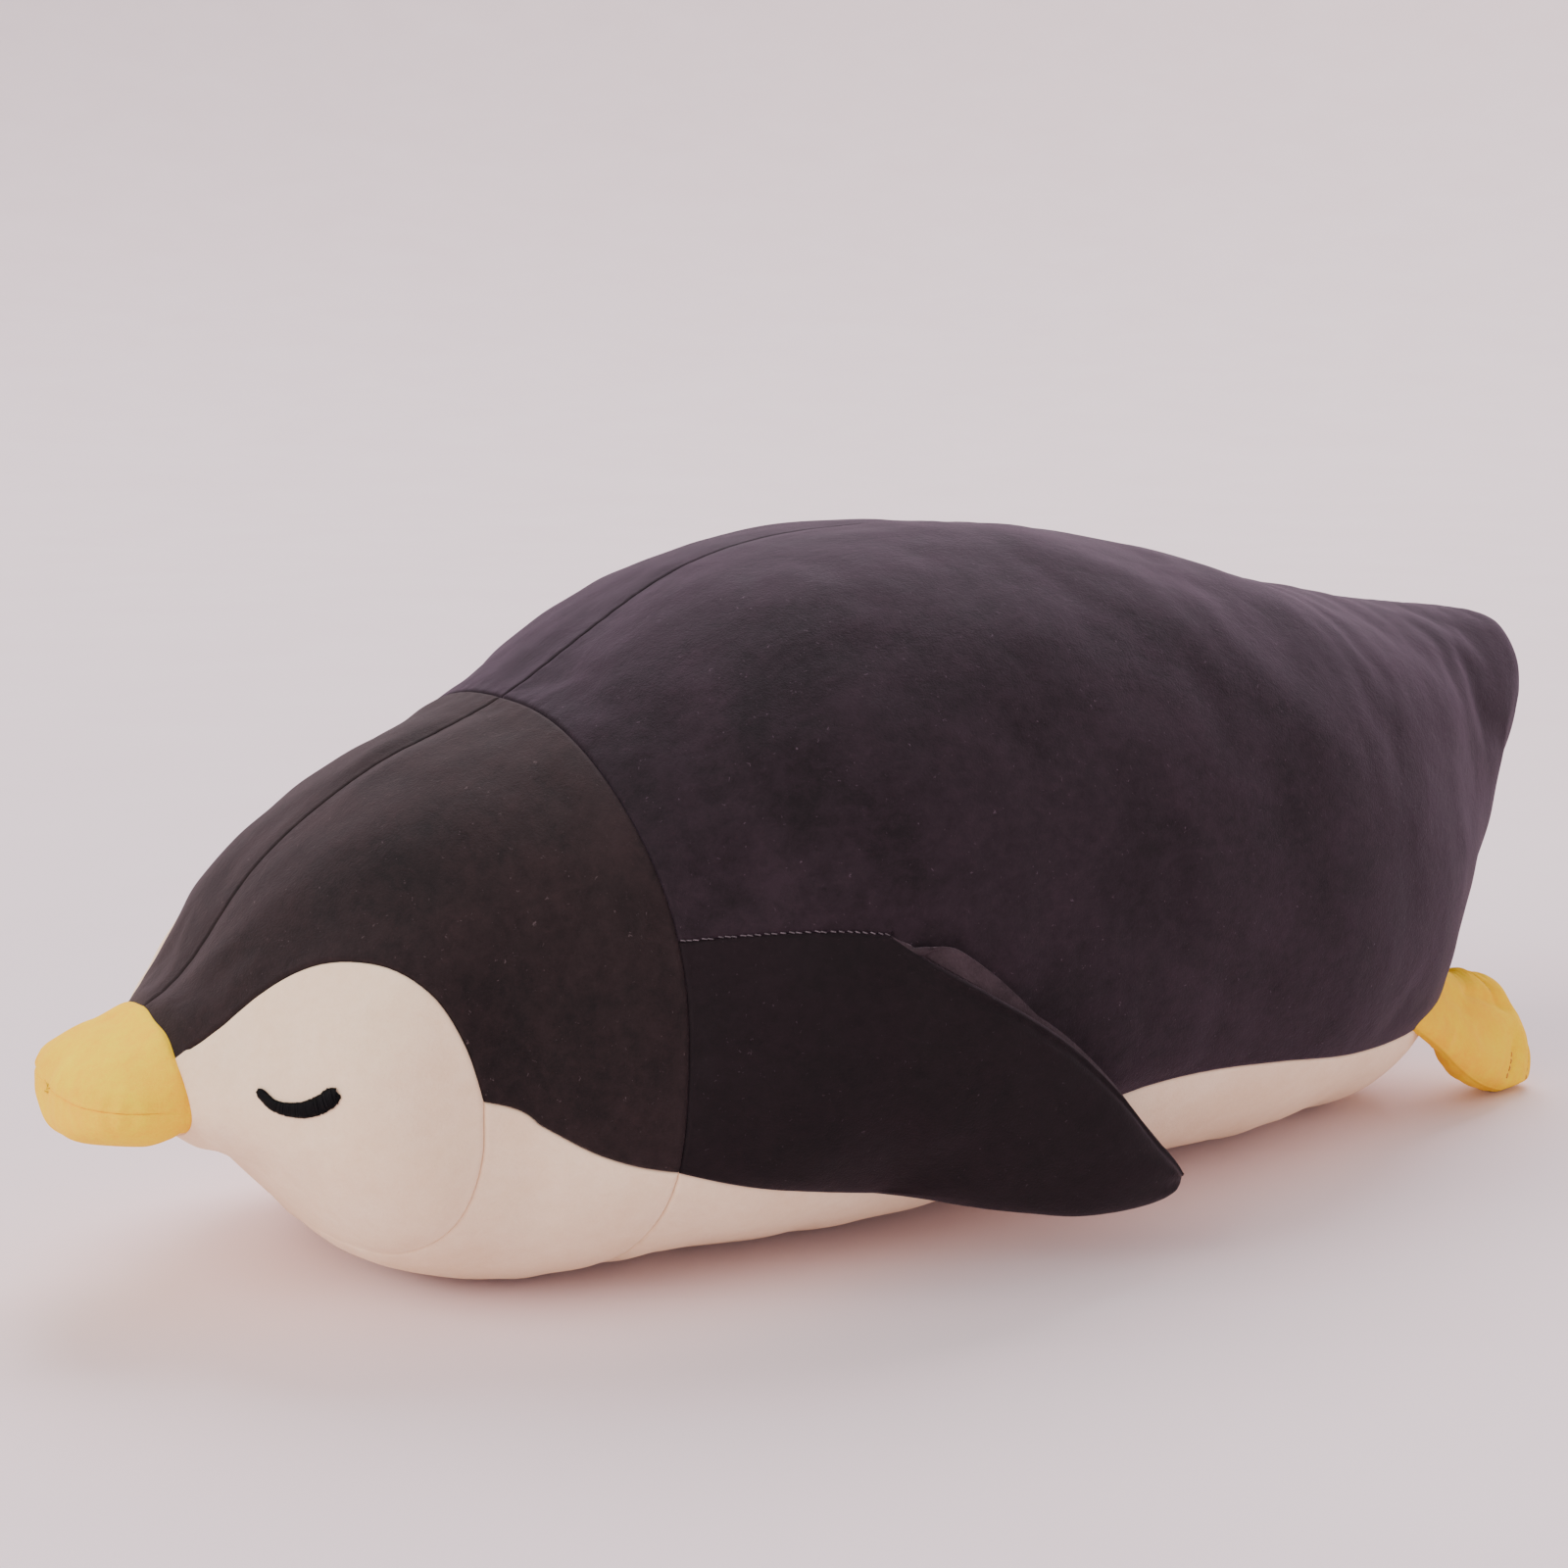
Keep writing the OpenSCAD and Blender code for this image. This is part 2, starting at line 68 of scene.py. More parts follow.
# Body from head to tail: y and z of the top line, y and z of the bottom line, half width, height of the
# widest place from 0 to 1, and squareness of the outline
SECTIONS = np.array([
    [-360, 119, -355, 68, 52, 0.38, 1.8],
    [-341, 135, -331, 57, 83, 0.40, 2.1],
    [-308, 176, -291, 13, 120, 0.41, 2.2],
    [-261, 209, -242, -4, 126, 0.42, 2.5],
    [-200, 236, -206, -4, 146, 0.42, 2.5],
    [-107, 290, -132, -4, 175, 0.42, 2.3],
    [-12, 304, -38, -4, 173, 0.42, 2.3],
    [90, 296, 73, -4, 160, 0.42, 2.3],
    [181, 275, 176, -4, 143, 0.43, 2.3],
    [262, 259, 260, 2, 108, 0.46, 2.2],
    [318, 252, 312, 59, 69, 0.50, 2.1],
    [369, 245, 362, 152, 40, 0.50, 2.0],
    [395, 231, 400, 194, 16, 0.50, 2.0]], float)
LAST = len(SECTIONS) - 1
TAIL_CLOSE = 11.2    # station where the tail starts to close
TAIL_EDGE = 11.93    # last station with a clear normal

# Seams on the left half of the body: station along SECTIONS, degrees round from the top
FACE_LOBE = [[0.25, 46], [0.75, 40.6], [1.25, 37.2], [1.75, 40.4], [2.2, 50], [2.5, 62.5], [2.66, 75],
             [2.74, 86]]
CHEEK_SEAM = [[2.74, 86], [2.65, 96], [2.45, 113], [2.15, 132], [1.8, 155], [1.65, 180]]
BELLY_FRONT = [[2.74, 86], [3.2, 91], [3.65, 98], [4.19, 107]]
BELLY_FLIPPER = [[4.19, 107], [4.7, 119], [5.33, 129.5]]
BELLY_REAR = [[5.33, 129.5], [5.9, 124], [6.6, 114], [7.4, 114.5], [8.1, 118.5], [8.8, 121], [9.6, 132],
              [10.02, 162]]
BELLY_TIP = [10.1, 180]
FLIPPER_TOP = [[4.155, 72], [4.6, 76.5], [5.08, 81]]
FOLD = [[5.08, 81], [5.18, 105], [5.33, 129.5]]
EYE_LINE = [[0.955, 74.7], [1.075, 80.9], [1.28, 81.8], [1.465, 79.3], [1.625, 75.4]]
COLLAR_FLIPPER, COLLAR_BELLY = 72, 107    # degrees at which the flipper and the belly meet the collar

# Edges of the left flipper and middle line of the left foot: x, y and z from the root to the tip
FLIPPER_UPPER = [[181, -110, 154], [184, -97, 144], [188, -77, 131], [190, -56, 118], [190, -35, 103],
                 [188, -12, 82], [185, 10, 58], [181, 31, 40]]
FLIPPER_LOWER = [[148, -98, 37], [152, -81, 34], [161, -56, 29], [168, -38, 26], [173, -19, 23],
                 [177, 1, 23], [179, 18, 25], [180, 31, 29]]
FOOT_LINE = [[78, 284, 51], [71, 301, 41.5], [64, 321, 32.5], [60, 340, 27], [57, 358, 25.5]]
ANKLE_OUT = np.array([0.66, -0.66, -0.3])
TOES_OUT = np.array([0.53, 0, -0.85])


SIDES = ("left", "right")


def new_object(name, data):
    obj = bpy.data.objects.new(name, data)
    bpy.context.scene.collection.objects.link(obj)
    return obj


# ---- curves and surfaces ----

def along(points, s):
    """Smooth curve through the points, s from 0 to 1 (any array)."""
    p = np.asarray(points, float)
    n = len(p) - 1
    x = np.clip(np.asarray(s, float), 0, 1) * n
    i = np.minimum(np.floor(x).astype(int), n - 1)
    f = (x - i)[..., None]
    b, c = p[i], p[i + 1]
    a = np.where((i > 0)[..., None], p[np.maximum(i - 1, 0)], 2 * b - c)
    d = np.where((i < n - 1)[..., None], p[np.minimum(i + 2, n)], 2 * c - b)
    return (2 * b + (c - a) * f + (2 * a - 5 * b + 4 * c - d) * f ** 2 + (3 * b - a - 3 * c + d) * f ** 3) / 2


def lerp(a, b, s):
    return a + (b - a) * s


def smooth(v):
    s = np.clip(v, 0, 1)
    return s * s * (3 - 2 * s)


def rounded(v, e):
    return np.sign(v) * np.abs(v) ** (2 / e)


def root_of(v):
    return np.sqrt(np.maximum(0, v))


def bell(v):
    return np.exp(-v ** 2)


def around(count, full=2 * math.pi):
    return np.linspace(0, full, count, endpoint=False)


def unit(v):
    return v / np.maximum(np.linalg.norm(v, axis=-1, keepdims=True), 1e-9)


def soft_floor(p, height=0.0, k=2.4):
    """Rests the points on the floor; k is how softly they bend away from it."""
    q = p.copy()
    z = q[..., 2] - height
    q[..., 2] = height + 0.5 * (z + np.sqrt(z * z + k * k)) - 0.12 * k
    q[..., 2] = np.maximum(q[..., 2], height)
    return q


def body_point(t, angle):
    """Point of the body at a station, so many degrees round from the top."""
    t, angle = np.broadcast_arrays(np.asarray(t, float), np.asarray(angle, float))
    s = along(SECTIONS, t / LAST)
    e = s[..., 6]
    rad = np.radians(angle)
    up = rounded(np.cos(rad), e)
    k = s[..., 5]
    g = np.where(up > 0, k + (1 - k) * up, k * (1 + up))
    shut = (t - TAIL_CLOSE) / (LAST - TAIL_CLOSE)
    close = np.where(t > TAIL_CLOSE, root_of(1 - shut ** 2), 1)
    return np.stack([s[..., 4] * rounded(np.sin(rad), e) * close,
                     lerp(s[..., 2], s[..., 0], g), lerp(s[..., 3], s[..., 1], g)], -1)


def body_normal(t, angle):
    t, angle = np.broadcast_arrays(np.asarray(t, float), np.asarray(angle, float))
    at = np.minimum(t, TAIL_EDGE)
    ds = body_point(at + 0.03, angle) - body_point(np.maximum(at - 0.03, 0), angle)
    dg = body_point(at, angle + 1.2) - body_point(at, angle - 1.2)
    n = unit(np.cross(dg, ds))
    # The tail's rear edge lies in the middle plane, so its normal does too
    n[..., 0] = n[..., 0] * (1 - smooth((t - 11.7) / 0.3))
    return unit(n)


def collar(angle):
    """Station of the seam round the neck."""
    a = np.where(angle > 180, 360 - angle, angle)
    return (4 + 0.19 * np.sin(np.radians(np.minimum(a, 90))) ** 4
            - np.where(a > COLLAR_BELLY, 0.07 * smooth((a - COLLAR_BELLY) / 40), 0))


def collar_point(a):
    return np.stack([collar(a), a], -1)


def waves(p, seed, shortest, longest, count=26):
    """Smooth random relief of unit size with wavelengths between the two lengths."""
    rng = np.random.default_rng(seed)
    out = np.zeros(p.shape[:-1])
    for _ in range(count):
        length = shortest * (longest / shortest) ** rng.random()
        out += np.sin(p @ (unit(rng.normal(size=3)) * (2 * math.pi / length)) + rng.random() * 6.283)
    return out / math.sqrt(count / 2)


# ---- seams ----

def on_body(chart, right=False):
    """Points of a seam on the body, in millimetres."""
    c = np.asarray(chart, float)
    return soft_floor(body_point(c[:, 0], 360 - c[:, 1] if right else c[:, 1]))


def seam_lines():
    s = np.linspace(0, 1, 900)
    lines = []
    for right in (False, True):
        for table in (FACE_LOBE, CHEEK_SEAM, BELLY_FRONT, BELLY_FLIPPER, BELLY_REAR, FLIPPER_TOP):
            lines.append(on_body(along(table, s), right))
        tip = lerp(np.array(BELLY_REAR[-1], float), np.array([BELLY_TIP[0], 180.0]), s[::9, None])
        lines.append(on_body(tip, right))
        lines.append(on_body(collar_point(180 * s), right))
    middle = np.linspace(0, LAST, 1400)
    lines.append(on_body(np.stack([middle, 0 * middle], -1)))
    lines.append(on_body(np.stack([lerp(BELLY_TIP[0], LAST, s), 0 * s + 180], -1)))
    lines.append(on_body(np.stack([0 * s + LAST, 180 * s], -1)))
    return lines


class Seams:
    """Nearest distance to a set of lines, and the length along the nearest one."""

    def __init__(self, lines):
        pts, run, first = [], [], []
        for k, line in enumerate(lines):
            step = np.linalg.norm(np.diff(line, axis=0), axis=1)
            run.append(np.concatenate([[0], np.cumsum(step)]) + 37.0 * k)
            pts.append(line)
            first.append(np.arange(len(line)) == 0)
        self.p = np.concatenate(pts)
        self.run = np.concatenate(run)
        self.first = np.concatenate(first)
        self.tree = kdtree.KDTree(len(self.p))
        for i, q in enumerate(self.p):
            self.tree.insert(q, i)
        self.tree.balance()

    def __call__(self, p):
        flat = p.reshape(-1, 3)
        near = np.array([self.tree.find(q)[1] for q in flat])
        best = np.linalg.norm(flat - self.p[near], axis=1)
        at = self.run[near]
        for other in (-1, 1):
            j = np.clip(near + other, 0, len(self.p) - 1)
            later = np.maximum(near, j)
            ok = (j != near) & ~self.first[later]
            ab = self.p[j] - self.p[near]
            f = np.clip(((flat - self.p[near]) * ab).sum(1) / np.maximum((ab * ab).sum(1), 1e-9), 0, 1)
            d = np.linalg.norm(flat - self.p[near] - ab * f[:, None], axis=1)
            use = ok & (d < best)
            at = np.where(use, lerp(self.run[near], self.run[j], f), at)
            best = np.where(use, d, best)
        return best.reshape(p.shape[:-1]), at.reshape(p.shape[:-1])


BODY_SEAMS = Seams(seam_lines())


def rolled(d, width=3.2):
    """How far the velvet turns in at distance d from its stitched edge: 1 at the edge, 0 beyond width."""
    x = np.clip(1 - d / width, 0, 1)
    return 1 - root_of(1 - x * x)


def puckers(at, d, pitch=11.0, reach=7.0):
    """Small gathers across a seam, a little uneven along it."""
    phase = 2 * math.pi * at / pitch + 1.7 * np.sin(at / 31.0) + 1.1 * np.sin(at / 12.7 + 2)
    size = 0.55 + 0.45 * np.sin(at / 43.0 + 1.3)
    return np.sin(phase) * size * np.exp(-d / reach) * (1 - np.exp(-d / 1.2))


# ---- cloth ----

def arc_table():
    """Length along the flank at each station."""
    t = np.linspace(0, LAST, 600)
    p = body_point(t, 80 + 0 * t)
    run = np.concatenate([[0], np.cumsum(np.linalg.norm(np.diff(p, axis=0), axis=1))])
    return t, run


ARC_T, ARC_RUN = arc_table()
CLOTH_FRAMES = 20


def simulate_skin():
    """Inflates the skin as cloth held at its seams; returns its fine relief on a (length, angle) grid."""
    rows, cols = 150, 132
    run = np.linspace(0, ARC_RUN[-1], rows)
    t = np.interp(run, ARC_RUN, ARC_T)[:, None] + np.zeros((1, cols))
    a = around(cols, 360)[None, :] + np.zeros((rows, 1))
    base = soft_floor(body_point(t, a))
    n = body_normal(t, a)
    d, _ = BODY_SEAMS(base)
    start = base - n * (4.0 * (1 - bell(d / 16)))[..., None]
    start = soft_floor(start + n * (0.35 * waves(base, 5, 14, 40))[..., None])
    verts = (start * 0.001).reshape(-1, 3)
    faces = [[i * cols + j, i * cols + (j + 1) % cols, (i + 1) * cols + (j + 1) % cols, (i + 1) * cols + j]
             for i in range(rows - 1) for j in range(cols)]
    mesh = bpy.data.meshes.new("skin_cloth")
    mesh.from_pydata([tuple(v) for v in verts], [], faces)
    obj = new_object("skin_cloth", mesh)
    held = obj.vertex_groups.new(name="held")
    pins = ((d < 3.6) | (base[..., 2] < 0.8)).ravel()
    pins[:cols] = True
    pins[-cols:] = True
    held.add([int(i) for i in np.nonzero(pins)[0]], 1.0, "REPLACE")
    cloth = obj.modifiers.new("cloth", "CLOTH")
    for key, value in dict(quality=6, mass=0.15, tension_stiffness=12, compression_stiffness=12,
                           shear_stiffness=5, bending_stiffness=0.15, use_pressure=True,
                           uniform_pressure_force=4.0, shrink_min=-0.012, vertex_group_mass="held").items():
        setattr(cloth.settings, key, value)
    cloth.settings.effector_weights.gravity = 0
    cloth.collision_settings.use_collision = False
    cloth.point_cache.frame_start = 1
    cloth.point_cache.frame_end = CLOTH_FRAMES
    scene = bpy.context.scene
    for f in range(1, CLOTH_FRAMES + 1):
        scene.frame_set(f)
    done = obj.evaluated_get(bpy.context.evaluated_depsgraph_get())
    co = np.zeros(len(verts) * 3)
    done.data.vertices.foreach_get("co", co)
    scene.frame_set(1)
    bpy.data.objects.remove(obj)
    bpy.data.meshes.remove(mesh)
    relief = np.nan_to_num(((co.reshape(rows, cols, 3) * 1000 - base) * n).sum(-1))
    broad = relief.copy()
    for _ in range(60):
        broad = (np.roll(broad, 1, 1) + np.roll(broad, -1, 1) + 2 * broad) / 4
        padded = np.concatenate([broad[:1], broad, broad[-1:]])
        broad = (padded[:-2] + padded[2:] + 2 * broad) / 4
    return np.clip(relief - broad, -6, 6) * (1 - bell(d / 9))


def bspline(field, t, angle):
    """Smooth sample of the relief grid."""
    rows, cols = field.shape
    x = np.interp(t, ARC_T, ARC_RUN) / ARC_RUN[-1] * (rows - 1)
    y = (angle % 360) / 360 * cols
    i, j = np.floor(x).astype(int), np.floor(y).astype(int)
    fx, fy = x - i, y - j

    def weights(f):
        return [(1 - f) ** 3 / 6, (3 * f ** 3 - 6 * f ** 2 + 4) / 6,
                (-3 * f ** 3 + 3 * f ** 2 + 3 * f + 1) / 6, f ** 3 / 6]
    wx, wy = weights(fx), weights(fy)
    out = np.zeros(np.shape(x))
    for a in range(4):
        ia = np.clip(i + a - 1, 0, rows - 1)
        for b in range(4):
            out += wx[a] * wy[b] * field[ia, (j + b - 1) % cols]
    return out


CLOTH = simulate_skin()
CLOTH_SHARE = 0.4    # part of the cloth's relief that the skin takes


# ---- sewn skin ----

def skin(t, angle, lift=0.0):
    """Finished skin surface at the chart points: place and outward normal, in millimetres."""
    base = body_point(t, angle)
    flat = soft_floor(base)
    n = body_normal(t, angle)
    d, at = BODY_SEAMS(flat)
    inside = 1 - bell(d / 9)
    front = smooth(t / 0.5)
    relief = (0.9 * (1 - bell(d / 30)) - 0.55 * bell(d / 8)) * front
    relief -= 1.7 * rolled(d, 2.3) * smooth(0.25 + t / 0.3)
    relief += 0.16 * puckers(at, d) * front
    relief += 0.7 * waves(base, 11, 70, 160) * inside * front
    relief += 0.14 * waves(base, 12, 22, 55) * inside * front
    # Slack drag lines that run down from the tail
    tail = smooth((base[..., 1] - 190) / 120) * inside
    drag = base[..., 2] * 0.085 + base[..., 1] * 0.03 + 0.8 * np.sin(base[..., 1] / 30)
    relief += 0.6 * tail * np.sin(drag)
    if CLOTH is not None:
        relief += CLOTH_SHARE * bspline(CLOTH, t, angle) * front
    p = base + n * (relief + lift)[..., None]
    return soft_floor(p), n


def cluster(count, breaks=(), pull=0.86):
    """Parameters from 0 to 1, crowded at both ends, with each break hit exactly."""
    u = np.linspace(0, 1, count + 1)
    u = u - pull * np.sin(2 * math.pi * u) / (2 * math.pi)
    for b in breaks:
        u[np.argmin(abs(u - b))] = b
    return u


def coons(low, high, front, rear, u, v):
    """Chart bounded by four seams; u and v are one-dimensional."""
    lo, hi = low(u)[:, None, :], high(u)[:, None, :]
    fr, re = front(v)[None, :, :], rear(v)[None, :, :]
    uu, vv = u[:, None, None], v[None, :, None]
    ends = lerp(lerp(lo[:1], lo[-1:], uu), lerp(hi[:1], hi[-1:], uu), vv)
    return lerp(lo, hi, vv) + lerp(fr, re, uu) - ends


def with_lip(p, n, depth=5.0):
    """Adds the seam allowance: a strip turned in along every edge."""
    for axis in (0, 1):
        first = np.take(p, [0], axis) - depth * np.take(n, [0], axis)
        last = np.take(p, [-1], axis) - depth * np.take(n, [-1], axis)
        n = np.concatenate([np.take(n, [0], axis), n, np.take(n, [-1], axis)], axis)
        p = np.concatenate([first, p, last], axis)
    return p, n


def make_mesh(name, grids, closed_v=False, outward=None):
    """Mesh from grids of points in millimetres, welded where points meet."""
    verts, faces, base = [], [], 0
    for g in grids:
        r, c = g.shape[:2]
        idx = base + np.arange(r * c).reshape(r, c)
        nxt = np.roll(idx, -1, 1) if closed_v else idx[:, 1:]
        cur = idx if closed_v else idx[:, :-1]
        faces.append(np.stack([cur[:-1], nxt[:-1], nxt[1:], cur[1:]], -1).reshape(-1, 4))
        verts.append(g.reshape(-1, 3))
        base += r * c
    v = np.concatenate(verts) * STRETCH * 0.001
    f = np.concatenate(faces)
    if outward is not None:
        a = v[f[:, 1]] - v[f[:, 0]]
        b = v[f[:, 3]] - v[f[:, 0]]
        if (np.cross(a, b) * outward.reshape(-1, 3)[f[:, 0]]).sum() < 0:
            f = f[:, ::-1]
    mesh = bpy.data.meshes.new(name)
    mesh.from_pydata([tuple(x) for x in v], [], [tuple(int(i) for i in q) for q in f])
    obj = new_object(name, mesh)
    bm = bmesh.new()
    bm.from_mesh(mesh)
    bmesh.ops.remove_doubles(bm, verts=bm.verts, dist=2e-5)
    bmesh.ops.dissolve_degenerate(bm, dist=1e-6, edges=bm.edges)
    for face in bm.faces:
        face.smooth = True
    bm.to_mesh(mesh)
    bm.free()
    return obj


def thicken(obj, depth=1.4):
    """Gives a sheet its cloth thickness, inwards and in millimetres."""
    m = obj.modifiers.new("thickness", "SOLIDIFY")
    m.thickness = depth * 0.001
    m.offset = -1
    return obj


def finish_piece(obj, body, material, nodes, blend=None):
    """Material and replaced nodes of a piece, and the body it rides on; with blend it stays in world space."""
    obj.data.materials.append(material)
    if nodes:
        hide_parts(*nodes)
    if blend:
        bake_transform(obj)
    else:
        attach(obj, body)
    return obj


# ---- materials ----

def add_node(nt, kind, inputs, **settings):
    """New node; each of the inputs is a value, or a socket to link to."""
    n = nt.nodes.new("ShaderNode" + kind)
    for key, value in settings.items():
        setattr(n, key, value)
    for key, value in inputs.items():
        if isinstance(value, bpy.types.NodeSocket):
            nt.links.new(value, n.inputs[key])
        else:
            n.inputs[key].default_value = value
    return n


def new_material(name):
    """Empty material, its node tree and its object coordinates."""
    m = bpy.data.materials.new(name)
    m.use_nodes = True
    m.node_tree.nodes.clear()
    return m, m.node_tree, add_node(m.node_tree, "TexCoord", {}).outputs["Object"]


def surface(nt, inputs):
    b = add_node(nt, "BsdfPrincipled", inputs)
    add_node(nt, "OutputMaterial", {"Surface": b.outputs[0]})


def linear(rgb):
    return [((c / 255 + 0.055) / 1.055) ** 2.4 if c > 10 else c / 255 / 12.92 for c in rgb] + [1.0]


def bump(nt, height, strength, distance, **normal):
    inputs = {"Height": height, "Strength": strength, "Distance": distance, **normal}
    return add_node(nt, "Bump", inputs).outputs[0]


def ramp(nt, source, low, high, ends=(0.0, 1.0)):
    """Colour that runs from low to high as the source runs from one end to the other."""
    n = add_node(nt, "ValToRGB", {0: source})
    for i, rgb in enumerate((low, high)):
        n.color_ramp.elements[i].position = ends[i]
        n.color_ramp.elements[i].color = linear(rgb)
    return n.outputs[0]


def noise(nt, coord, scale, detail=3.0, stretch=None, rough=0.55, distortion=0.0):
    if stretch:
        coord = add_node(nt, "Mapping", {"Vector": coord, "Scale": stretch}).outputs[0]
    return add_node(nt, "TexNoise", {"Vector": coord, "Scale": scale, "Detail": detail, "Roughness": rough,
                                     "Distortion": distortion}).outputs[0]


def add(nt, a, b, clamp=False):
    return add_node(nt, "Math", {0: a, 1: b}, operation="ADD", use_clamp=clamp).outputs[0]


def times(nt, a, b):
    return add_node(nt, "Math", {0: a, 1: b}, operation="MULTIPLY").outputs[0]


def velvet(name, dark, light, sheen_tint, sheen=0.5, sheen_rough=0.45, nap=(1.0, 0.8, 1.1),
           contrast=0.5, subsurface=0.0, lint=None):
    """Short-pile velvet: brushed patches, crushed flecks, single fibres, lint and a sheen."""
    m, nt, co = new_material(name)
    patches = noise(nt, co, 11.0, 3.0, nap, 0.55, 0.8)
    clouds = noise(nt, co, 42.0, 4.0, nap, 0.6, 0.5)
    flecks = noise(nt, co, 190.0, 4.0, nap, 0.66, 0.4)
    fibres = noise(nt, co, 980.0, 2.0, None, 0.7)
    mix = times(nt, patches, 0.30)
    for layer, share in ((clouds, 0.27), (flecks, 0.27), (fibres, 0.16)):
        mix = add(nt, mix, times(nt, layer, share))
    spread = 0.26 / (1 + 2 * contrast)
    colour = ramp(nt, mix, dark, light, (0.5 - spread, 0.5 + spread))
    if lint:
        spots = ramp(nt, noise(nt, co, 620.0, 1.0, None, 0.5, 1.0), (0, 0, 0), (255, 255, 255), (0.735, 0.79))
        colour = add_node(nt, "Mix", {0: spots, 6: colour, 7: linear(lint)}, data_type="RGBA").outputs[2]
    pile = bump(nt, add(nt, fibres, times(nt, flecks, 1.1)), 0.5, 0.0005)
    inputs = {"Base Color": colour, "Roughness": add(nt, times(nt, clouds, 0.24), 0.72, True),
              "Specular IOR Level": 0.2, "Sheen Weight": sheen, "Sheen Roughness": sheen_rough,
              "Sheen Tint": linear(sheen_tint), "Normal": bump(nt, clouds, 0.3, 0.0014, Normal=pile)}
    if subsurface:
        inputs.update({"Subsurface Weight": subsurface, "Subsurface Scale": 0.004,
                       "Subsurface Radius": (1.0, 0.6, 0.35)})
    surface(nt, inputs)
    return m


def thread_material(name, dark, light, sheen=0.3, gloss=0.5):
    """Twisted polyester thread."""
    m, nt, co = new_material(name)
    twist = noise(nt, co, 2600.0, 2.0)
    tone = noise(nt, co, 160.0, 3.0)
    mix = add(nt, times(nt, twist, 0.6), times(nt, tone, 0.4))
    surface(nt, {"Base Color": ramp(nt, mix, dark, light, (0.36, 0.66)),
                 "Roughness": add(nt, times(nt, tone, 0.25), 0.42), "Sheen Weight": sheen,
                 "Specular IOR Level": gloss, "Normal": bump(nt, twist, 0.5, 0.0002)})
    return m


# Painted light: the flipper's inner face is the same dark velvet as the back, made lighter to stand for the
# light that falls on it from above.
INNER_VELVET_PAINTED_LIGHT = velvet("flipper_inner_velvet_painted_light", (30, 21, 25), (64, 52, 57), (196, 176, 190), 0.35, 0.42,
                (1.0, 0.8, 1.0), 0.6)
BACK = velvet("back_velvet", (17, 10, 14), (41, 30, 37), (196, 166, 196), 0.24, 0.42, (1.0, 0.8, 1.1), 0.75,
              lint=(74, 60, 70))
HOOD = velvet("hood_velvet", (17, 11, 12), (41, 30, 31), (190, 168, 174), 0.2, 0.45, (0.9, 1.0, 0.9), 0.75,
              lint=(74, 62, 64))
FLIPPER = velvet("flipper_velvet", (10, 5, 7), (25, 16, 20), (176, 150, 168), 0.15, 0.42,
                 (1.0, 0.8, 1.0), 0.75, lint=(58, 48, 54))
WHITE = velvet("white_velvet", (240, 208, 172), (254, 230, 200), (255, 236, 208), 0.12, 0.5,
               (1.0, 0.9, 1.0), 0.3, 0.06)
YELLOW = velvet("yellow_velvet", (255, 180, 0), (255, 220, 0), (255, 214, 60), 0.0, 0.5, (1.0, 0.9, 1.0), 0.4)
EYE_THREAD = thread_material("black_embroidery", (0, 0, 1), (5, 5, 9), 0.0, 0.12)
YELLOW_THREAD = thread_material("yellow_thread", (190, 120, 6), (240, 176, 20))
DARK_THREAD = thread_material("dark_thread", (12, 9, 11), (40, 32, 38))
SEAM_THREAD = thread_material("seam_thread", (40, 32, 38), (122, 108, 116))
FILLING = velvet("filling", (216, 216, 214), (244, 244, 242), (255, 255, 255), 0.2, 0.6)


# ---- head, back and belly panels ----

# Each edge runs over u from 0 to 1. The hood's has 17 steps: one beside the beak, ten round the face, six
# along the throat.
HOOD_STEPS, HOOD_FACE_END = 17, 11
FACE_BREAK = 10 / 18     # where the face's edge leaves the hood
BELLY_BREAK = 5 / 26     # where the belly's edge leaves the flipper
# Stretches of the back's lower edge: start and length in u
BACK_TOP, BACK_FOLD, BACK_SEAM, BACK_TIP, BACK_REAR = (
    (0, 0.125), (0.125, 0.15), (0.275, 0.525), (0.8, 0.025), (0.825, 0.175))
BEAK_CORNER = np.array([[0.0, 50.0]])


def within(u, stretch):
    return (u - stretch[0]) / stretch[1]


def hood_edge(u):
    w = u * HOOD_STEPS
    throat = along(BELLY_FRONT, (w - HOOD_FACE_END) / (HOOD_STEPS - HOOD_FACE_END))
    face = along(FACE_LOBE, (w - 1) / (HOOD_FACE_END - 1))
    w = w[:, None]
    start = lerp(BEAK_CORNER, np.array([FACE_LOBE[0]], float), np.clip(w, 0, 1))
    return np.where(w < 1, start, np.where(w < HOOD_FACE_END, face, throat))


def two_seams(first, second, c):
    """Edge that follows the first seam up to u = c, and then the second."""
    return lambda u: np.where((u < c)[:, None], along(first, u / c), along(second, (u - c) / (1 - c)))


face_edge = two_seams(FACE_LOBE, CHEEK_SEAM, FACE_BREAK)
belly_edge = two_seams(BELLY_FLIPPER, BELLY_REAR, BELLY_BREAK)


def back_edge(u):
    w = u[:, None]
    tip = lerp(np.array(BELLY_REAR[-1], float), np.array([BELLY_TIP[0], 180.0]),
               np.clip(within(w, BACK_TIP), 0, 1))
    rear = np.concatenate([lerp(BELLY_TIP[0], float(LAST), within(w, BACK_REAR)), 180 + 0 * w], 1)
    out = np.where(w < BACK_FOLD[0], along(FLIPPER_TOP, within(u, BACK_TOP)), along(FOLD, within(u, BACK_FOLD)))
    out = np.where(w < BACK_SEAM[0], out, along(BELLY_REAR, within(u, BACK_SEAM)))
    out = np.where(w < BACK_TIP[0], out, tip)
    return np.where(w <= BACK_REAR[0], out, rear)


def column(x, y):
    x, y = np.broadcast_arrays(x, y)
    return np.stack([x, y], -1).astype(float)


def other_side(c):
    return np.stack([c[..., 0], 360 - c[..., 1]], -1)


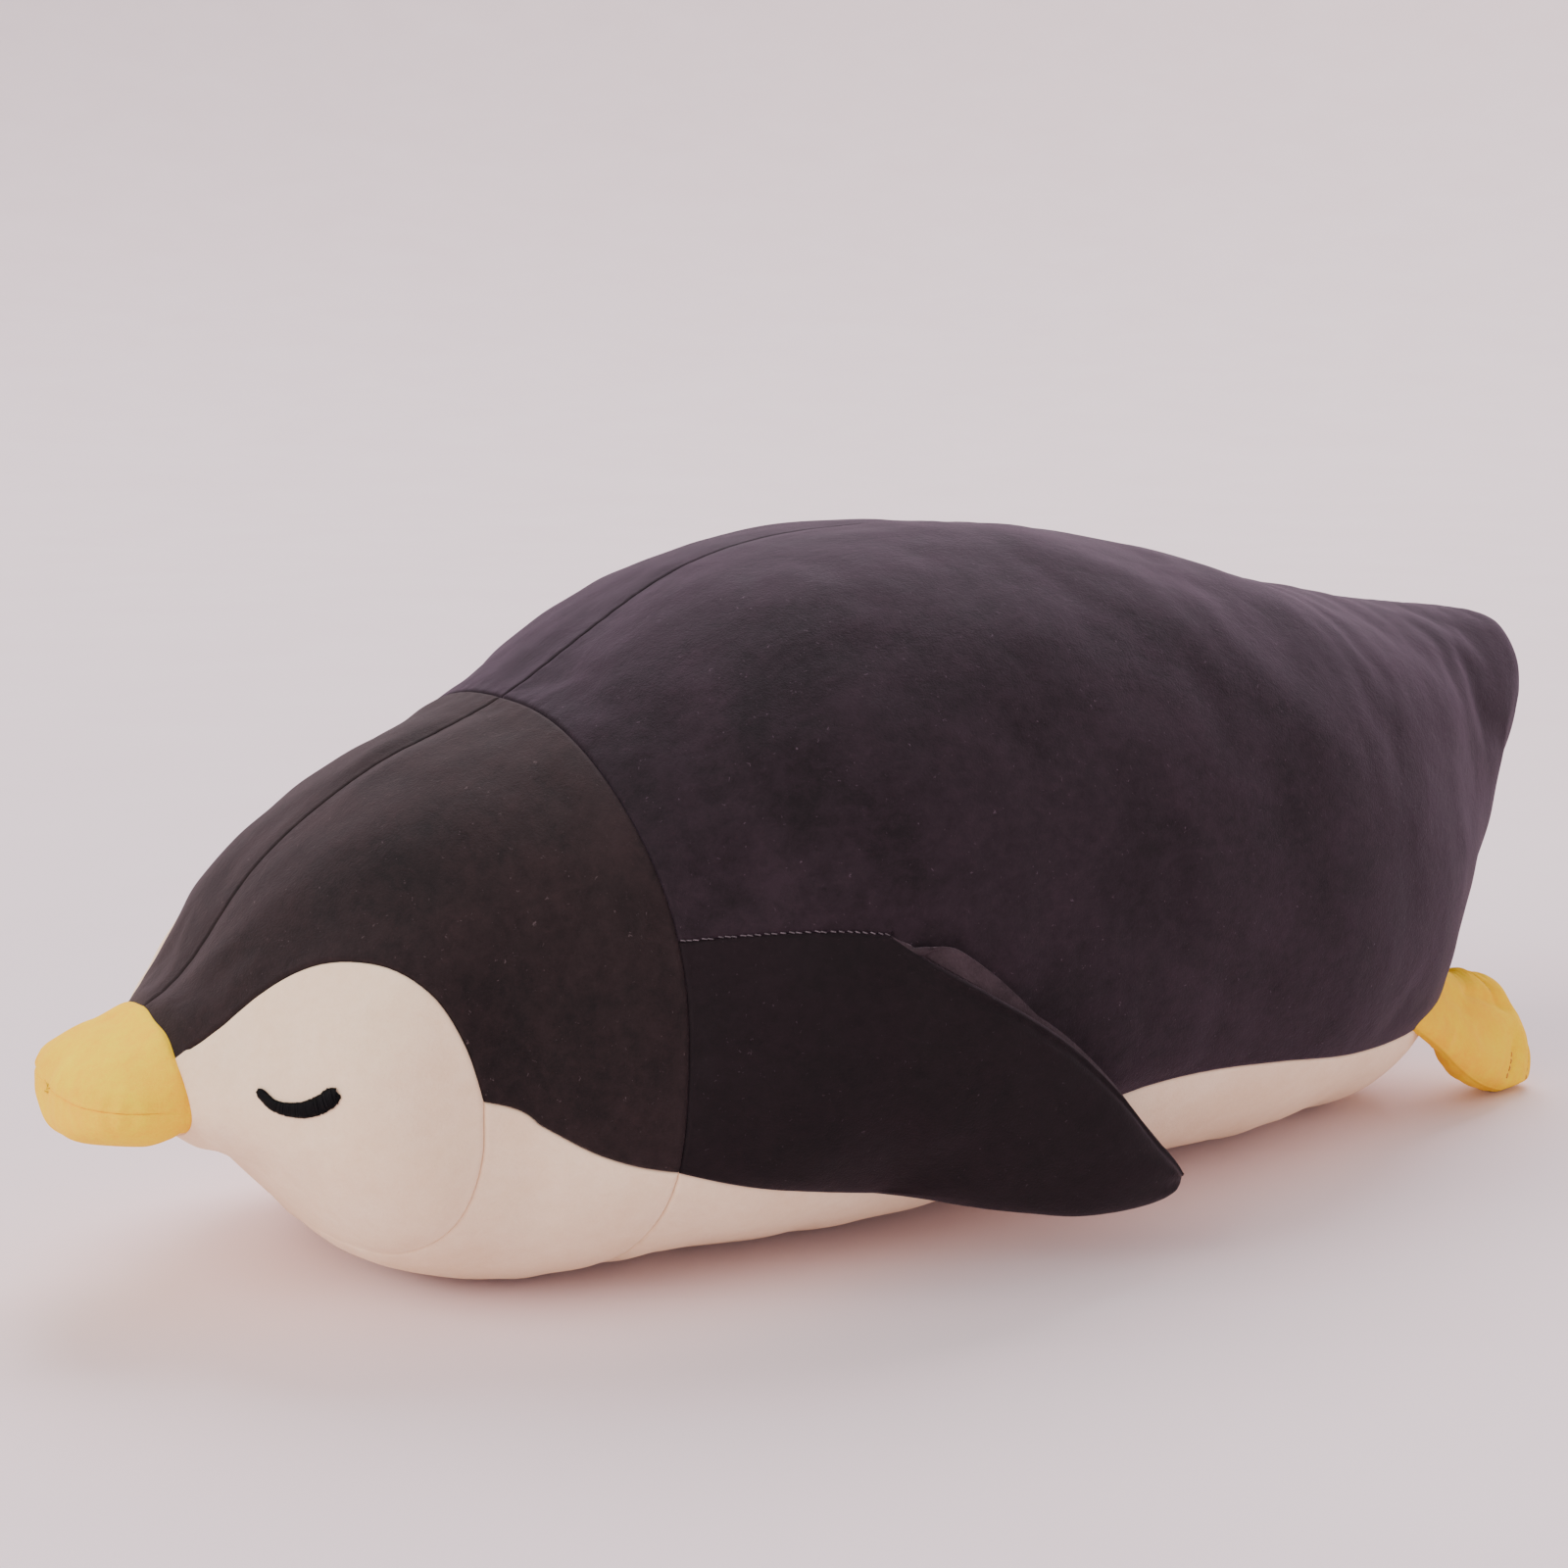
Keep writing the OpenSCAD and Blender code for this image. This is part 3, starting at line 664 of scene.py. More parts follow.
def build_panel(name, charts, u, v, side, under=()):
    """Panel of the skin. under lists (column, shift): edges that carry on below the flipper's root."""
    c = coons(*charts, u, v)
    shifted = [(col, c[:, col] + shift) for col, shift in under]
    if side == "right":
        c = other_side(c)
        shifted = [(col, other_side(x)) for col, x in shifted]
    p, n = skin(c[..., 0], c[..., 1])
    p, n = with_lip(p, n)
    for col, x in shifted:
        deep, _ = skin(x[:, 0], x[:, 1], -4.0)
        flat = np.abs(x - c[:, col]).sum(1) < 1e-6
        deep = np.where(flat[:, None], p[1:-1, col], deep)
        deep = np.concatenate([deep[:1], deep, deep[-1:]])[:, None]
        p = np.concatenate([p, deep], 1) if col == -1 else np.concatenate([deep, p], 1)
        n = np.concatenate([n, n[:, -1:]], 1) if col == -1 else np.concatenate([n[:, :1], n], 1)
    return thicken(make_mesh(name, [p], outward=n))


CHARTS = {
    "hood": (lambda u: column(lerp(0, collar(0.0), u), 0.0), hood_edge,
             lambda v: column(0.0, 50 * v),
             lambda v: collar_point(COLLAR_BELLY * v)),
    "face": (lambda u: column(0.0, lerp(50, 180, u)), face_edge,
             lambda v: lerp(BEAK_CORNER, np.array([FACE_LOBE[0]], float), v[:, None]),
             lambda v: column(lerp(0, CHEEK_SEAM[-1][0], v), 180.0)),
    "back": (lambda u: column(lerp(collar(0.0), LAST, u), 0.0), back_edge,
             lambda v: collar_point(COLLAR_FLIPPER * v), lambda v: column(float(LAST), 180 * v)),
}


def below_root(u, top_end, fold_end, down):
    """Chart shift of an edge that ends at the flipper's root, so that the panel carries on beneath it."""
    on_top, on_fold = u < top_end, (u >= top_end) & (u < fold_end)
    fade = np.sin(math.pi * np.clip(np.where(on_top, u / (2 * top_end), 0.5), 0, 1))
    return np.stack([np.where(on_fold, -0.13, 0.0), np.where(on_top, down * fade, 0.0)], -1)


for side in SIDES:
    u = cluster(160, [1 / HOOD_STEPS, HOOD_FACE_END / HOOD_STEPS])
    hood = build_panel(f"hood_{side}", CHARTS["hood"], u, cluster(120), side)
    finish_piece(hood, "body", HOOD, [f"hood_panel_{side}"])
    face = build_panel(f"face_{side}", CHARTS["face"], cluster(140, [FACE_BREAK]), cluster(110), side)
    finish_piece(face, "body", WHITE, [f"face_panel_{side}"])
    u = cluster(290, [BACK_FOLD[0], BACK_SEAM[0], BACK_TIP[0], BACK_REAR[0]], 0.7)
    back = build_panel(f"back_{side}", CHARTS["back"], u, cluster(170), side,
                       [(-1, below_root(u, BACK_FOLD[0], BACK_SEAM[0], 6.0))])
    finish_piece(back, "body", BACK, [f"back_panel_{side}"])


def throat_front(v):
    a = along(CHEEK_SEAM, 2 * v)
    b = other_side(along(CHEEK_SEAM, 2 - 2 * v))
    return np.where((v < 0.5)[:, None], a, b)


def belly_rear(v):
    return column(lerp(10.02, BELLY_TIP[0], np.sin(math.pi * v)), lerp(162, 198, v))


def belly_collar(v):
    return collar_point(lerp(COLLAR_BELLY, 360 - COLLAR_BELLY, v))


throat = build_panel("throat", (lambda u: along(BELLY_FRONT, u), lambda u: other_side(along(BELLY_FRONT, u)),
                                throat_front, belly_collar),
                     cluster(90), cluster(180, [0.5]), "left")
finish_piece(throat, "body", WHITE, ["throat_panel"])
u = cluster(220, [BELLY_BREAK])
reach = below_root(u, BELLY_BREAK, BELLY_BREAK, -5.0)
belly = build_panel("belly", (belly_edge, lambda u: other_side(belly_edge(u)), belly_collar, belly_rear),
                    u, cluster(150, [0.5]), "left", [(0, reach), (-1, -reach)])
finish_piece(belly, "body", WHITE, ["belly_panel"])


# ---- beak ----

# Root y, height of the side seam at root and tip, half width, length, heights above and below the seam, how
# far the root leans at top and bottom, and the powers that set how bluntly each outline closes
BEAK = dict(y=-357.5, seam=(88, 91.5), half=53, length=42.3, up=26.8, low=22, lean=(3, -2), plan=3.2,
            up_power=1.55, low_power=5.0, roof=1.6)


def beak_point(s, angle):
    """Point of the beak, s from 0 at the root to 1 at the nose."""
    s, angle = np.broadcast_arrays(np.asarray(s, float), np.asarray(angle, float))
    rad = np.radians(angle)
    c = np.clip(s, 0, 1)
    roof = np.where(np.cos(rad) > 0, lerp(BEAK["roof"], 2.1, c), 2.1)
    across, up = rounded(np.sin(rad), roof), rounded(np.cos(rad), roof)

    def taper(power):
        return np.maximum(0, 1 - c ** power) ** (1 / power)
    lean = np.where(up > 0, BEAK["lean"][0], BEAK["lean"][1]) * np.abs(up)
    rise = np.where(up > 0, BEAK["up"] * taper(BEAK["up_power"]), BEAK["low"] * taper(BEAK["low_power"]))
    return np.stack([BEAK["half"] * taper(BEAK["plan"]) * across,
                     BEAK["y"] - lean - (BEAK["length"] - lean) * s,
                     lerp(BEAK["seam"][0], BEAK["seam"][1], s) + rise * up], -1)


def beak_normal(s, angle):
    ds = beak_point(s + 0.006, angle) - beak_point(s - 0.006, angle)
    dg = beak_point(s, angle + 1.0) - beak_point(s, angle - 1.0)
    n = np.cross(ds, dg)
    tip = (np.linalg.norm(n, axis=-1) < 1e-6)[..., None]
    return unit(np.where(tip, np.array([0.0, -1.0, 0.0]), n))


rim = np.linspace(0, 1, 700)
rim = 1 - (1 - rim) ** 3
BEAK_SEAMS = Seams([beak_point(rim, 90), beak_point(rim, -90)])


def beak_surface(s, angle):
    base = beak_point(s, angle)
    n = beak_normal(s, angle)
    # The open end is sewn to the head, so it takes the head's outline there
    head = body_point(0.0 * s, np.mod(angle, 360.0)) - beak_point(0.0 * s, angle)
    base = base + head * (1 - smooth(s / 0.34))[..., None]
    d, at = BEAK_SEAMS(base)
    root = np.maximum(0, BEAK["y"] - base[..., 1])
    front = smooth((s - 0.2) / 0.5)
    relief = 0.6 - 0.7 * bell(d / 6) - 1.3 * rolled(d, 2.4)
    relief += (0.15 + 0.45 * front) * puckers(at, d, 8.5, 5.0)
    relief -= 1.0 * bell(root / 2.0)
    relief += 0.35 * waves(base, 31, 18, 45)
    return base + n * relief[..., None], n


for name, start in (("beak_upper", -90), ("beak_lower", 90)):
    # Even steps to the nose, then steps that follow its blunt outline
    w = lerp((1 - 0.8 ** 5) ** 0.2, 0.0, np.linspace(0, 1, 60)[1:] ** 0.8)
    s = np.concatenate([[-0.16, -0.08], np.linspace(0, 0.8, 60), (1 - w ** 5) ** 0.2])
    v = cluster(110, (), 0.8)
    ss, vv = np.meshgrid(s, v, indexing="ij")
    p, n = beak_surface(ss, start + 180 * vv)
    edge = p[:, [0, -1]] - 3.0 * n[:, [0, -1]]
    p = np.concatenate([edge[:, :1], p, edge[:, 1:]], 1)
    n = np.concatenate([n[:, :1], n, n[:, -1:]], 1)
    beak = thicken(make_mesh(name, [p], outward=n))
    finish_piece(beak, "body", YELLOW, [f"{name}_panel"])


# ---- eyes ----

EYE_RUN, EYE_TURN = 0.0176, 0.95    # stations and degrees in one millimetre at the eye
EYE_THREADS = 112


def tube(path, radius, across, sides=6):
    """Rings of a thread round the path; across is a direction that is never along it."""
    ahead = unit(np.gradient(path, axis=0))
    side = unit(np.cross(ahead, across))
    up = np.cross(side, ahead)
    ang = around(sides)
    r = np.broadcast_to(radius, (len(path),))[:, None, None]
    return path[:, None, :] + r * (np.cos(ang)[None, :, None] * side[:, None, :]
                                   + np.sin(ang)[None, :, None] * up[:, None, :])


def capped(rings):
    """Closes a row of rings at both ends."""
    first = np.repeat(rings[:1].mean(1, keepdims=True), rings.shape[1], 1)
    last = np.repeat(rings[-1:].mean(1, keepdims=True), rings.shape[1], 1)
    return np.concatenate([first, rings, last])


for side in SIDES:
    threads = []
    rng = np.random.default_rng(7 if side == "left" else 8)
    for layer, lifted in ((0, 0.15), (1, 0.0)):
        for k in range(EYE_THREADS):
            u = (k + 0.5) / EYE_THREADS
            c = along(EYE_LINE, u)
            half = 2.6 * (0.88 + 0.12 * math.sin(math.pi * u)) * math.sqrt(min(1, 0.2 + 12 * min(u, 1 - u)))
            half *= 1 + 0.04 * rng.normal()
            run = along(EYE_LINE, min(1.0, u + 0.02)) - along(EYE_LINE, max(0.0, u - 0.02))
            square = unit(np.array([-run[1] / EYE_TURN, run[0] / EYE_RUN]))
            slant = 0.012 * (1 if layer else -1)
            w = np.linspace(-1, 1, 9)
            t = c[0] + half * w * square[0] * EYE_RUN + slant * w + 0.002 * rng.normal()
            a = c[1] + half * w * square[1] * EYE_TURN
            if side == "right":
                a = 360 - a
            p, n = skin(t, a)
            h = 0.15 + (1.05 - 0.3 * layer) * root_of(1 - (0.98 * w) ** 2) + lifted
            path = p + n * h[:, None]
            threads.append(capped(tube(path, 0.3 * (1 + 0.1 * rng.normal()), n)))
    eye = make_mesh(f"eye_{side}", threads, closed_v=True)
    finish_piece(eye, "body", EYE_THREAD, [f"eye_embroidery_{side}"])


# ---- flippers ----

OUTER_FULL, INNER_FULL = 14.0, 10.5    # how far the flipper's faces swell from its middle sheet
FLIPPER_ROWS = np.concatenate([np.linspace(0, 0.9, 90), 1 - 0.1 * (1 - np.linspace(0, 1, 26)[1:]) ** 1.8])


def flank(y, z):
    """Half width of the body at a place of its side view."""
    def section(t):
        s = along(SECTIONS, t / LAST)
        return s, (z - s[..., 3]) / (s[..., 1] - s[..., 3])

    low, high = np.full(np.shape(y), 3.0), np.full(np.shape(y), 9.0)
    for _ in range(18):
        t = (low + high) / 2
        s, g = section(t)
        ahead = lerp(s[..., 2], s[..., 0], g) < y
        low, high = np.where(ahead, t, low), np.where(ahead, high, t)
    s, g = section((low + high) / 2)
    k = s[..., 5]
    up = np.where(g > k, (g - k) / (1 - k), (k - g) / k)
    return s[..., 4] * np.maximum(0, 1 - np.minimum(up, 1) ** s[..., 6]) ** (1 / s[..., 6])


def flipper_middle(s, r):
    """Middle sheet of the left flipper, r from 0 at the lower edge to 1 at the upper one."""
    tip = root_of(1 - (np.maximum(0, s - 0.9) / 0.1) ** 2)
    chord = lerp(along(FLIPPER_LOWER, s), along(FLIPPER_UPPER, s), (0.5 + (r - 0.5) * tip)[..., None])
    fold = flank(chord[..., 1], chord[..., 2]) + 3.0
    x = lerp(chord[..., 0], np.maximum(chord[..., 0], fold), (1 - np.clip(s, 0, 1)) ** 3)
    return np.stack([x, chord[..., 1], chord[..., 2]], -1)


def fullness(s, r):
    return root_of(4 * r * (1 - r)) * smooth(s * 4 + 0.15) * root_of(1 - s ** 4)


def flipper_width(s):
    return np.linalg.norm(along(FLIPPER_UPPER, s) - along(FLIPPER_LOWER, s), axis=-1)


def edge_relief(s, r, seed):
    """Puckers along the stitched edge and creases that gather at the tip."""
    m = flipper_middle(s, r)
    d = np.minimum(r, 1 - r) * flipper_width(s)
    at = 150 * s + np.where(r > 0.5, 0, 71)
    out = 0.45 * puckers(at, d, 10.0, 7.0)
    fan = np.arctan2(m[..., 2] - 33.0, 34.0 - m[..., 1])
    out += 1.5 * smooth((s - 0.7) / 0.22) * np.sin(fan * 8.0 + seed * 0.7) * np.exp(-np.abs(s - 0.93) / 0.12)
    return out + 0.5 * waves(m, seed, 30, 80) * smooth(d / 14)


def flipper_sheet(rows_s, v, outer, side):
    """Outer or inner face of the left flipper; side only picks the outer face's creases."""
    s, vv = np.meshgrid(rows_s, v, indexing="ij")
    r = 1 - vv
    m = flipper_middle(s, r)
    full = fullness(s, r)
    if outer:
        d = (1 - r) * flipper_width(s)
        ridge = (1.1 * bell((d - 2.2) / 1.6) - 0.9 * bell((d - 6.0) / 2.2)) * smooth(s * 8)
        creases = edge_relief(s, r, 41 if side == "left" else 42) * np.sqrt(full)
        x = m[..., 0] + 0.1 + OUTER_FULL * full + creases + ridge
        return np.stack([x, m[..., 1], m[..., 2]], -1)
    # The inner face stands up past the edge seam, most of all near the fold
    w = np.clip((r - 0.78) / 0.22, 0, 1)
    chord_r = np.where(r < 0.78, r, 0.78 + 0.22 * np.sin(np.minimum(1, w / 0.62) * math.pi / 2))
    m = flipper_middle(s, chord_r)
    full = fullness(s, chord_r)
    hump = 11.5 * np.sin(math.pi * np.clip(s / 0.46, 0, 1) ** 0.9)
    hump = hump + 3.2 * smooth((s - 0.08) / 0.3) * (1 - smooth((s - 0.84) / 0.12))
    edge = unit(along(FLIPPER_UPPER, s) - along(FLIPPER_LOWER, s))
    loop = np.sin(math.pi * w ** 1.2)
    x = m[..., 0] - 0.1 - INNER_FULL * full - 0.45 * hump * loop + 0.6 * edge_relief(s, r, 43) * np.sqrt(full)
    return np.stack([x, m[..., 1], m[..., 2]], -1) + edge * (hump * loop)[..., None]


def on_side(p, side):
    """Points of the left side, mirrored for the right one."""
    return p if side == "left" else p * np.array([-1.0, 1.0, 1.0])


def facing(p, axis, way):
    """One outward direction for a whole sheet."""
    out = np.zeros_like(p)
    out[..., axis] = way
    return out


# The two bodies that a piece bends between, and where it starts and ends to bend, in metres
BEND = {"left": ("body", "flipper_left", (0.18, -0.117, 0.1), (0.18, -0.070, 0.1)),
        "right": ("body", "flipper_right", (-0.18, -0.117, 0.1), (-0.18, -0.070, 0.1))}
ROOT = (lambda u: along(FLIPPER_TOP, u), lambda u: along(BELLY_FLIPPER, u),
        lambda v: collar_point(lerp(COLLAR_FLIPPER, COLLAR_BELLY, v)), lambda v: along(FOLD, v))
for side in SIDES:
    outwards = 1 if side == "left" else -1
    v = cluster(130, (), 0.82)
    u_root = np.concatenate([cluster(90, (), 0.82)[:12], np.linspace(0.06, 1, 46)])
    c = coons(*ROOT, u_root, v)
    if side == "right":
        c = other_side(c)
    swell = 5.0 * smooth(u_root)[:, None] * np.sqrt(4 * v * (1 - v))[None, :]
    swell = swell + 1.6 * np.sin(math.pi * u_root)[:, None] * np.sin(math.pi * v)[None, :]
    root, root_n = skin(c[..., 0], c[..., 1], swell)
    s_free = FLIPPER_ROWS[1:]
    free = on_side(flipper_sheet(s_free, v, True, side), side)
    gap = root[-1:] - on_side(flipper_sheet(np.array([0.0]), v, True, side), side)
    free = free + gap * (1 - smooth(s_free / 0.3))[:, None, None]
    p = np.concatenate([root, free])
    near = np.concatenate([smooth((u_root - 0.62) / 0.3), 1 - smooth((s_free - 0.12) / 0.25)])[:, None, None]
    near = near * (smooth(v / 0.12) * smooth((1 - v) / 0.12))[None, :, None]
    for _ in range(26):
        mid = p.copy()
        mid[1:-1] = (p[:-2] + 2 * p[1:-1] + p[2:]) / 4
        p = lerp(p, mid, near)
    lip = p[:1] - 4.0 * root_n[:1]
    p = np.concatenate([lip, p])
    outer = make_mesh(f"flipper_outer_{side}", [soft_floor(p, 1.0)], outward=facing(p, 0, outwards))
    thicken(outer, 1.2)
    finish_piece(outer, None, FLIPPER,
                 [f"flipper_root_panel_{side}", f"flipper_outer_panel_{side}"], BEND[side])
    p = on_side(flipper_sheet(FLIPPER_ROWS, v, False, side), side)
    # It starts at the fold, just inside the outer panel
    c = coons(*ROOT, np.array([1.0]), v)
    start, _ = skin(c[..., 0], (c if side == "left" else other_side(c))[..., 1], -0.6)
    p = p + (start - p[:1]) * (1 - smooth(FLIPPER_ROWS / 0.25))[:, None, None]
    clear = flank(p[..., 1], p[..., 2]) + lerp(-1.5, 2.2, smooth((FLIPPER_ROWS - 0.01) / 0.1))[:, None]
    p[..., 0] = np.maximum(p[..., 0], clear) if side == "left" else np.minimum(p[..., 0], -clear)
    inner = make_mesh(f"flipper_inner_{side}", [soft_floor(p, 1.0)], outward=facing(p, 0, -outwards))
    thicken(inner, 1.2)
    # The inner face takes the lighter velvet with the painted light from above.
    finish_piece(inner, None, INNER_VELVET_PAINTED_LIGHT, [f"flipper_inner_panel_{side}"], BEND[side])


# ---- feet ----

TOE_START = 0.68
FOOT_HALF_WIDTH, FOOT_HALF_HEIGHT = 33.2, 17.5
TOE_LINES = ((0.5, 1.0), (0.76, 0.9))    # where each toe line starts, and its depth
TOE_SLANT = 0.16


def foot_frame(s):
    """Directions across the foot and up from it."""
    outwards = unit(lerp(ANKLE_OUT, TOES_OUT, smooth(s * 1.6)[..., None]))
    ahead = along(FOOT_LINE, np.clip(s + 0.02, 0.04, 1)) - along(FOOT_LINE, np.clip(s - 0.02, 0, 0.96))
    return outwards, unit(np.cross(outwards, ahead))


def foot_surface(s, a, side, seed=61):
    """Upper (side 1) or sole (side -1) of the left foot; a from -1 at the inner edge to 1 at the outer."""
    toe = root_of(1 - np.maximum(0, (s - TOE_START) / (1 - TOE_START)) ** 2)
    tip = np.where(s > 0.985, root_of((1 - s) / 0.015), 1)
    half_width = FOOT_HALF_WIDTH * lerp(1.1, 1, smooth(s * 1.8)) * lerp(0.22, 1, toe) * tip
    half_height = FOOT_HALF_HEIGHT * lerp(0.5, 1, smooth(s * 1.6 + 0.1)) * lerp(0.16, 1, toe)
    dome = half_height * root_of(1 - np.abs(a) ** 2.6) * root_of(1 - s ** 14)
    outwards, up = foot_frame(s)
    line = along(FOOT_LINE, s)
    back = np.maximum(0, -s)[..., None] * np.array([8.0, -56.0, 38.0])
    rim = line + back + outwards * (half_width * a)[..., None]
    rim[..., 2] = np.maximum(rim[..., 2], 2.6)
    d = (1 - np.abs(a)) * half_width
    grooves = 0
    for start, size in TOE_LINES:
        line_s = start + TOE_SLANT * (1 - np.abs(a))
        away = (s - line_s) * 85
        fade = smooth((np.abs(a) - 0.12) / 0.35) if side > 0 else smooth((np.abs(a) - 0.4) / 0.35)
        grooves = grooves + size * fade * (1.9 * bell(away / 2.2) + 1.5 * bell(away / 7))
    at = 92 * s + np.where(a > 0, 0, 53)
    relief = -grooves * smooth(d / 5) * root_of(dome / 17) - 1.0 * rolled(d, 2.6)
    relief += 0.8 * puckers(at, d, 9.0, 7.0) * np.minimum(1, dome / 5)
    if side > 0:
        # Gathers along the inner edge, a long valley beside it and a dimple where the ankle bends
        gathers = bell((d - 4.5) / 3.2) * np.sin(at * math.pi / 7.6) ** 4
        relief -= np.where(a < 0, 1.5, 0.0) * gathers
        valley = smooth(s * 6) * (1 - smooth((s - 0.62) / 0.2))
        relief -= 2.6 * valley * bell((a + 0.42 - 0.25 * s) / 0.13)
        relief -= 1.8 * np.exp(-((a - 0.55) / 0.22) ** 2 - ((s - 0.2 - 0.12 * a) / 0.07) ** 2)
    lumps = waves(line + outwards * (half_width * a)[..., None] + seed, seed, 16, 45)
    relief += 0.45 * lumps * np.minimum(1, dome / 6)
    return rim + up * (side * (dome + relief))[..., None]


ANKLE = {"left": ("body", "foot_left", (0.0795, 0.2805, 0.0465), (0.073, 0.2965, 0.040)),
         "right": ("body", "foot_right", (-0.0795, 0.2805, 0.0465), (-0.073, 0.2965, 0.040))}
for side in SIDES:
    for part, way in (("upper", 1), ("sole", -1)):
        u = np.linspace(0, 1, 96)
        s = np.concatenate([np.linspace(-0.5, -0.02, 12), 1 - (1 - u) ** 2.2])
        v = cluster(90, (), 0.86)
        ss, vv = np.meshgrid(s, 2 * v - 1, indexing="ij")
        p = on_side(foot_surface(ss, vv, way, seed=61 if side == "left" else 67), side)
        p = soft_floor(p, 0.0, 1.2)
        foot = thicken(make_mesh(f"foot_{part}_{side}", [p], outward=facing(p, 2, way)), 1.2)
        finish_piece(foot, None, YELLOW, [f"foot_{part}_panel_{side}"], ANKLE[side])
    threads = []
    for start, _ in TOE_LINES:
        for edge in (1, -1):
            for k in range(4):
                a = edge * (0.9 - 0.11 * k - 0.012 * np.linspace(0, 1, 6) * 6)
                s = start + TOE_SLANT * (1 - np.abs(a))
                p = foot_surface(s, a, 1)
                _, up = foot_frame(s)
                h = 0.25 + 0.5 * np.sin(math.pi * np.linspace(0, 1, 6))
                path = on_side(p + up * h[:, None], side)
                threads.append(capped(tube(path, 0.38, on_side(up, side))))
    stitches = make_mesh(f"toe_thread_{side}", threads, closed_v=True)
    finish_piece(stitches, f"foot_{side}", YELLOW_THREAD, [f"toe_stitches_{side}"])


# ---- closing stitches and the stitches of the flipper seam ----

def thread_over(a, b, out, radius, height, steps=7):
    """One stitch from a to b that arches out of the cloth."""
    w = np.linspace(0, 1, steps)[:, None]
    path = a + (b - a) * w + out * (height * np.sin(math.pi * w) + 0.1)
    return capped(tube(path, radius, np.broadcast_to(out, path.shape)))


# Nine on the belly seam of the right side
threads = []
rng = np.random.default_rng(3)
for i in range(9):
    c = along(BELLY_REAR, 0.5 + 0.012 * i)
    a, _ = skin(np.array([c[0]]), np.array([360 - c[1] - 1.1]))
    b, n = skin(np.array([c[0] + 0.004 * rng.normal()]), np.array([360 - c[1] + 1.1]))
    threads.append(thread_over(a[0], b[0], n[0], 0.34, 0.25))
closing = make_mesh("closing_ladder", threads, closed_v=True)
finish_piece(closing, "body", DARK_THREAD, ["closing_stitches"])

SEAM_STITCHES = 27
for side in SIDES:
    threads = []
    rng = np.random.default_rng(21 if side == "left" else 22)
    for k in range(SEAM_STITCHES):
        c = along(FLIPPER_TOP, (k + 0.5) / SEAM_STITCHES)
        half = 0.16 + 0.05 * rng.random()
        t = np.array([c[0] - 0.010, c[0] + 0.012]) + 0.003 * rng.normal()
        a = np.array([c[1] - half, c[1] + half])
        p, n = skin(t, a if side == "left" else 360 - a)
        threads.append(thread_over(p[0], p[1], n[0], 0.24, 0.35 + 0.3 * rng.random()))
    seam = make_mesh(f"flipper_seam_stitches_{side}", threads, closed_v=True)
    finish_piece(seam, "body", SEAM_THREAD, [])


# ---- filling ----

def lumpy(name, rings, seed, size, nodes, body, blend=None):
    """A filling: closed rings with lumps of the given size."""
    p = capped(rings + unit(rings - rings.mean((0, 1))) * (size * waves(rings, seed, 9, 40))[..., None])
    obj = make_mesh(name, [p], closed_v=True, outward=p - p.mean((0, 1)))
    return finish_piece(obj, body, FILLING, nodes, blend)


t = np.interp(np.linspace(14, ARC_RUN[-1] - 26, 120), ARC_RUN, ARC_T)[:, None] + np.zeros((1, 110))
a = around(110, 360)[None, :] + np.zeros((120, 1))
core = body_point(t, a) - body_normal(t, a) * 9.0
core[..., 2] = np.maximum(core[..., 2], 7.0)
lumpy("filling_body", core, 71, 1.2, ["body_stuffing"], "body")
s, a = np.meshgrid(np.linspace(0.02, 0.86, 40), around(60, 360), indexing="ij")
core = beak_point(s, a)
centre = np.array([0, -366.0, 90.0])
lumpy("filling_beak", centre + (core - centre) * 0.74, 72, 0.7, ["beak_stuffing"], "body")
turn = around(48)
for side in SIDES:
    s, w = np.meshgrid(np.linspace(0.16, 0.86, 40), turn, indexing="ij")
    r = 0.48 + 0.32 * np.cos(w)
    m = flipper_middle(s, r)
    full = fullness(s, r)
    inside = np.maximum(m[..., 0] - INNER_FULL * full, flank(m[..., 1], m[..., 2]) + 2.2) + 3.4
    outside = np.maximum(m[..., 0] + OUTER_FULL * full - 3.0, inside + 0.6)
    m[..., 0] = (inside + outside) / 2 + np.sin(w) * (outside - inside) * 0.42
    lumpy(f"filling_flipper_{side}", on_side(m, side), 73, 0.5,
          [f"flipper_stuffing_{side}"], None, BEND[side])
    s, w = np.meshgrid(np.linspace(0.18, 0.9, 40), turn, indexing="ij")
    outwards, up = foot_frame(s)
    taper = np.sqrt(np.maximum(0.05, 1 - np.maximum(0, (s - 0.55) / 0.45) ** 2))
    m = (along(FOOT_LINE, s) + outwards * (25 * taper * np.cos(w))[..., None]
         + up * (9.0 * taper * smooth(s * 2) * np.sin(w))[..., None])
    m[..., 2] = np.maximum(m[..., 2], 5.0)
    lumpy(f"filling_foot_{side}", on_side(m, side), 74, 0.5,
          [f"foot_stuffing_{side}"], None, ANKLE[side])


# ---- floor, light and camera ----

def floor_material():
    m, nt, co = new_material("floor")
    surface(nt, {"Base Color": ramp(nt, noise(nt, co, 4.0, 3.0), (240, 222, 226), (246, 231, 235)),
                 "Roughness": 0.9, "Specular IOR Level": 0.15})
    return m


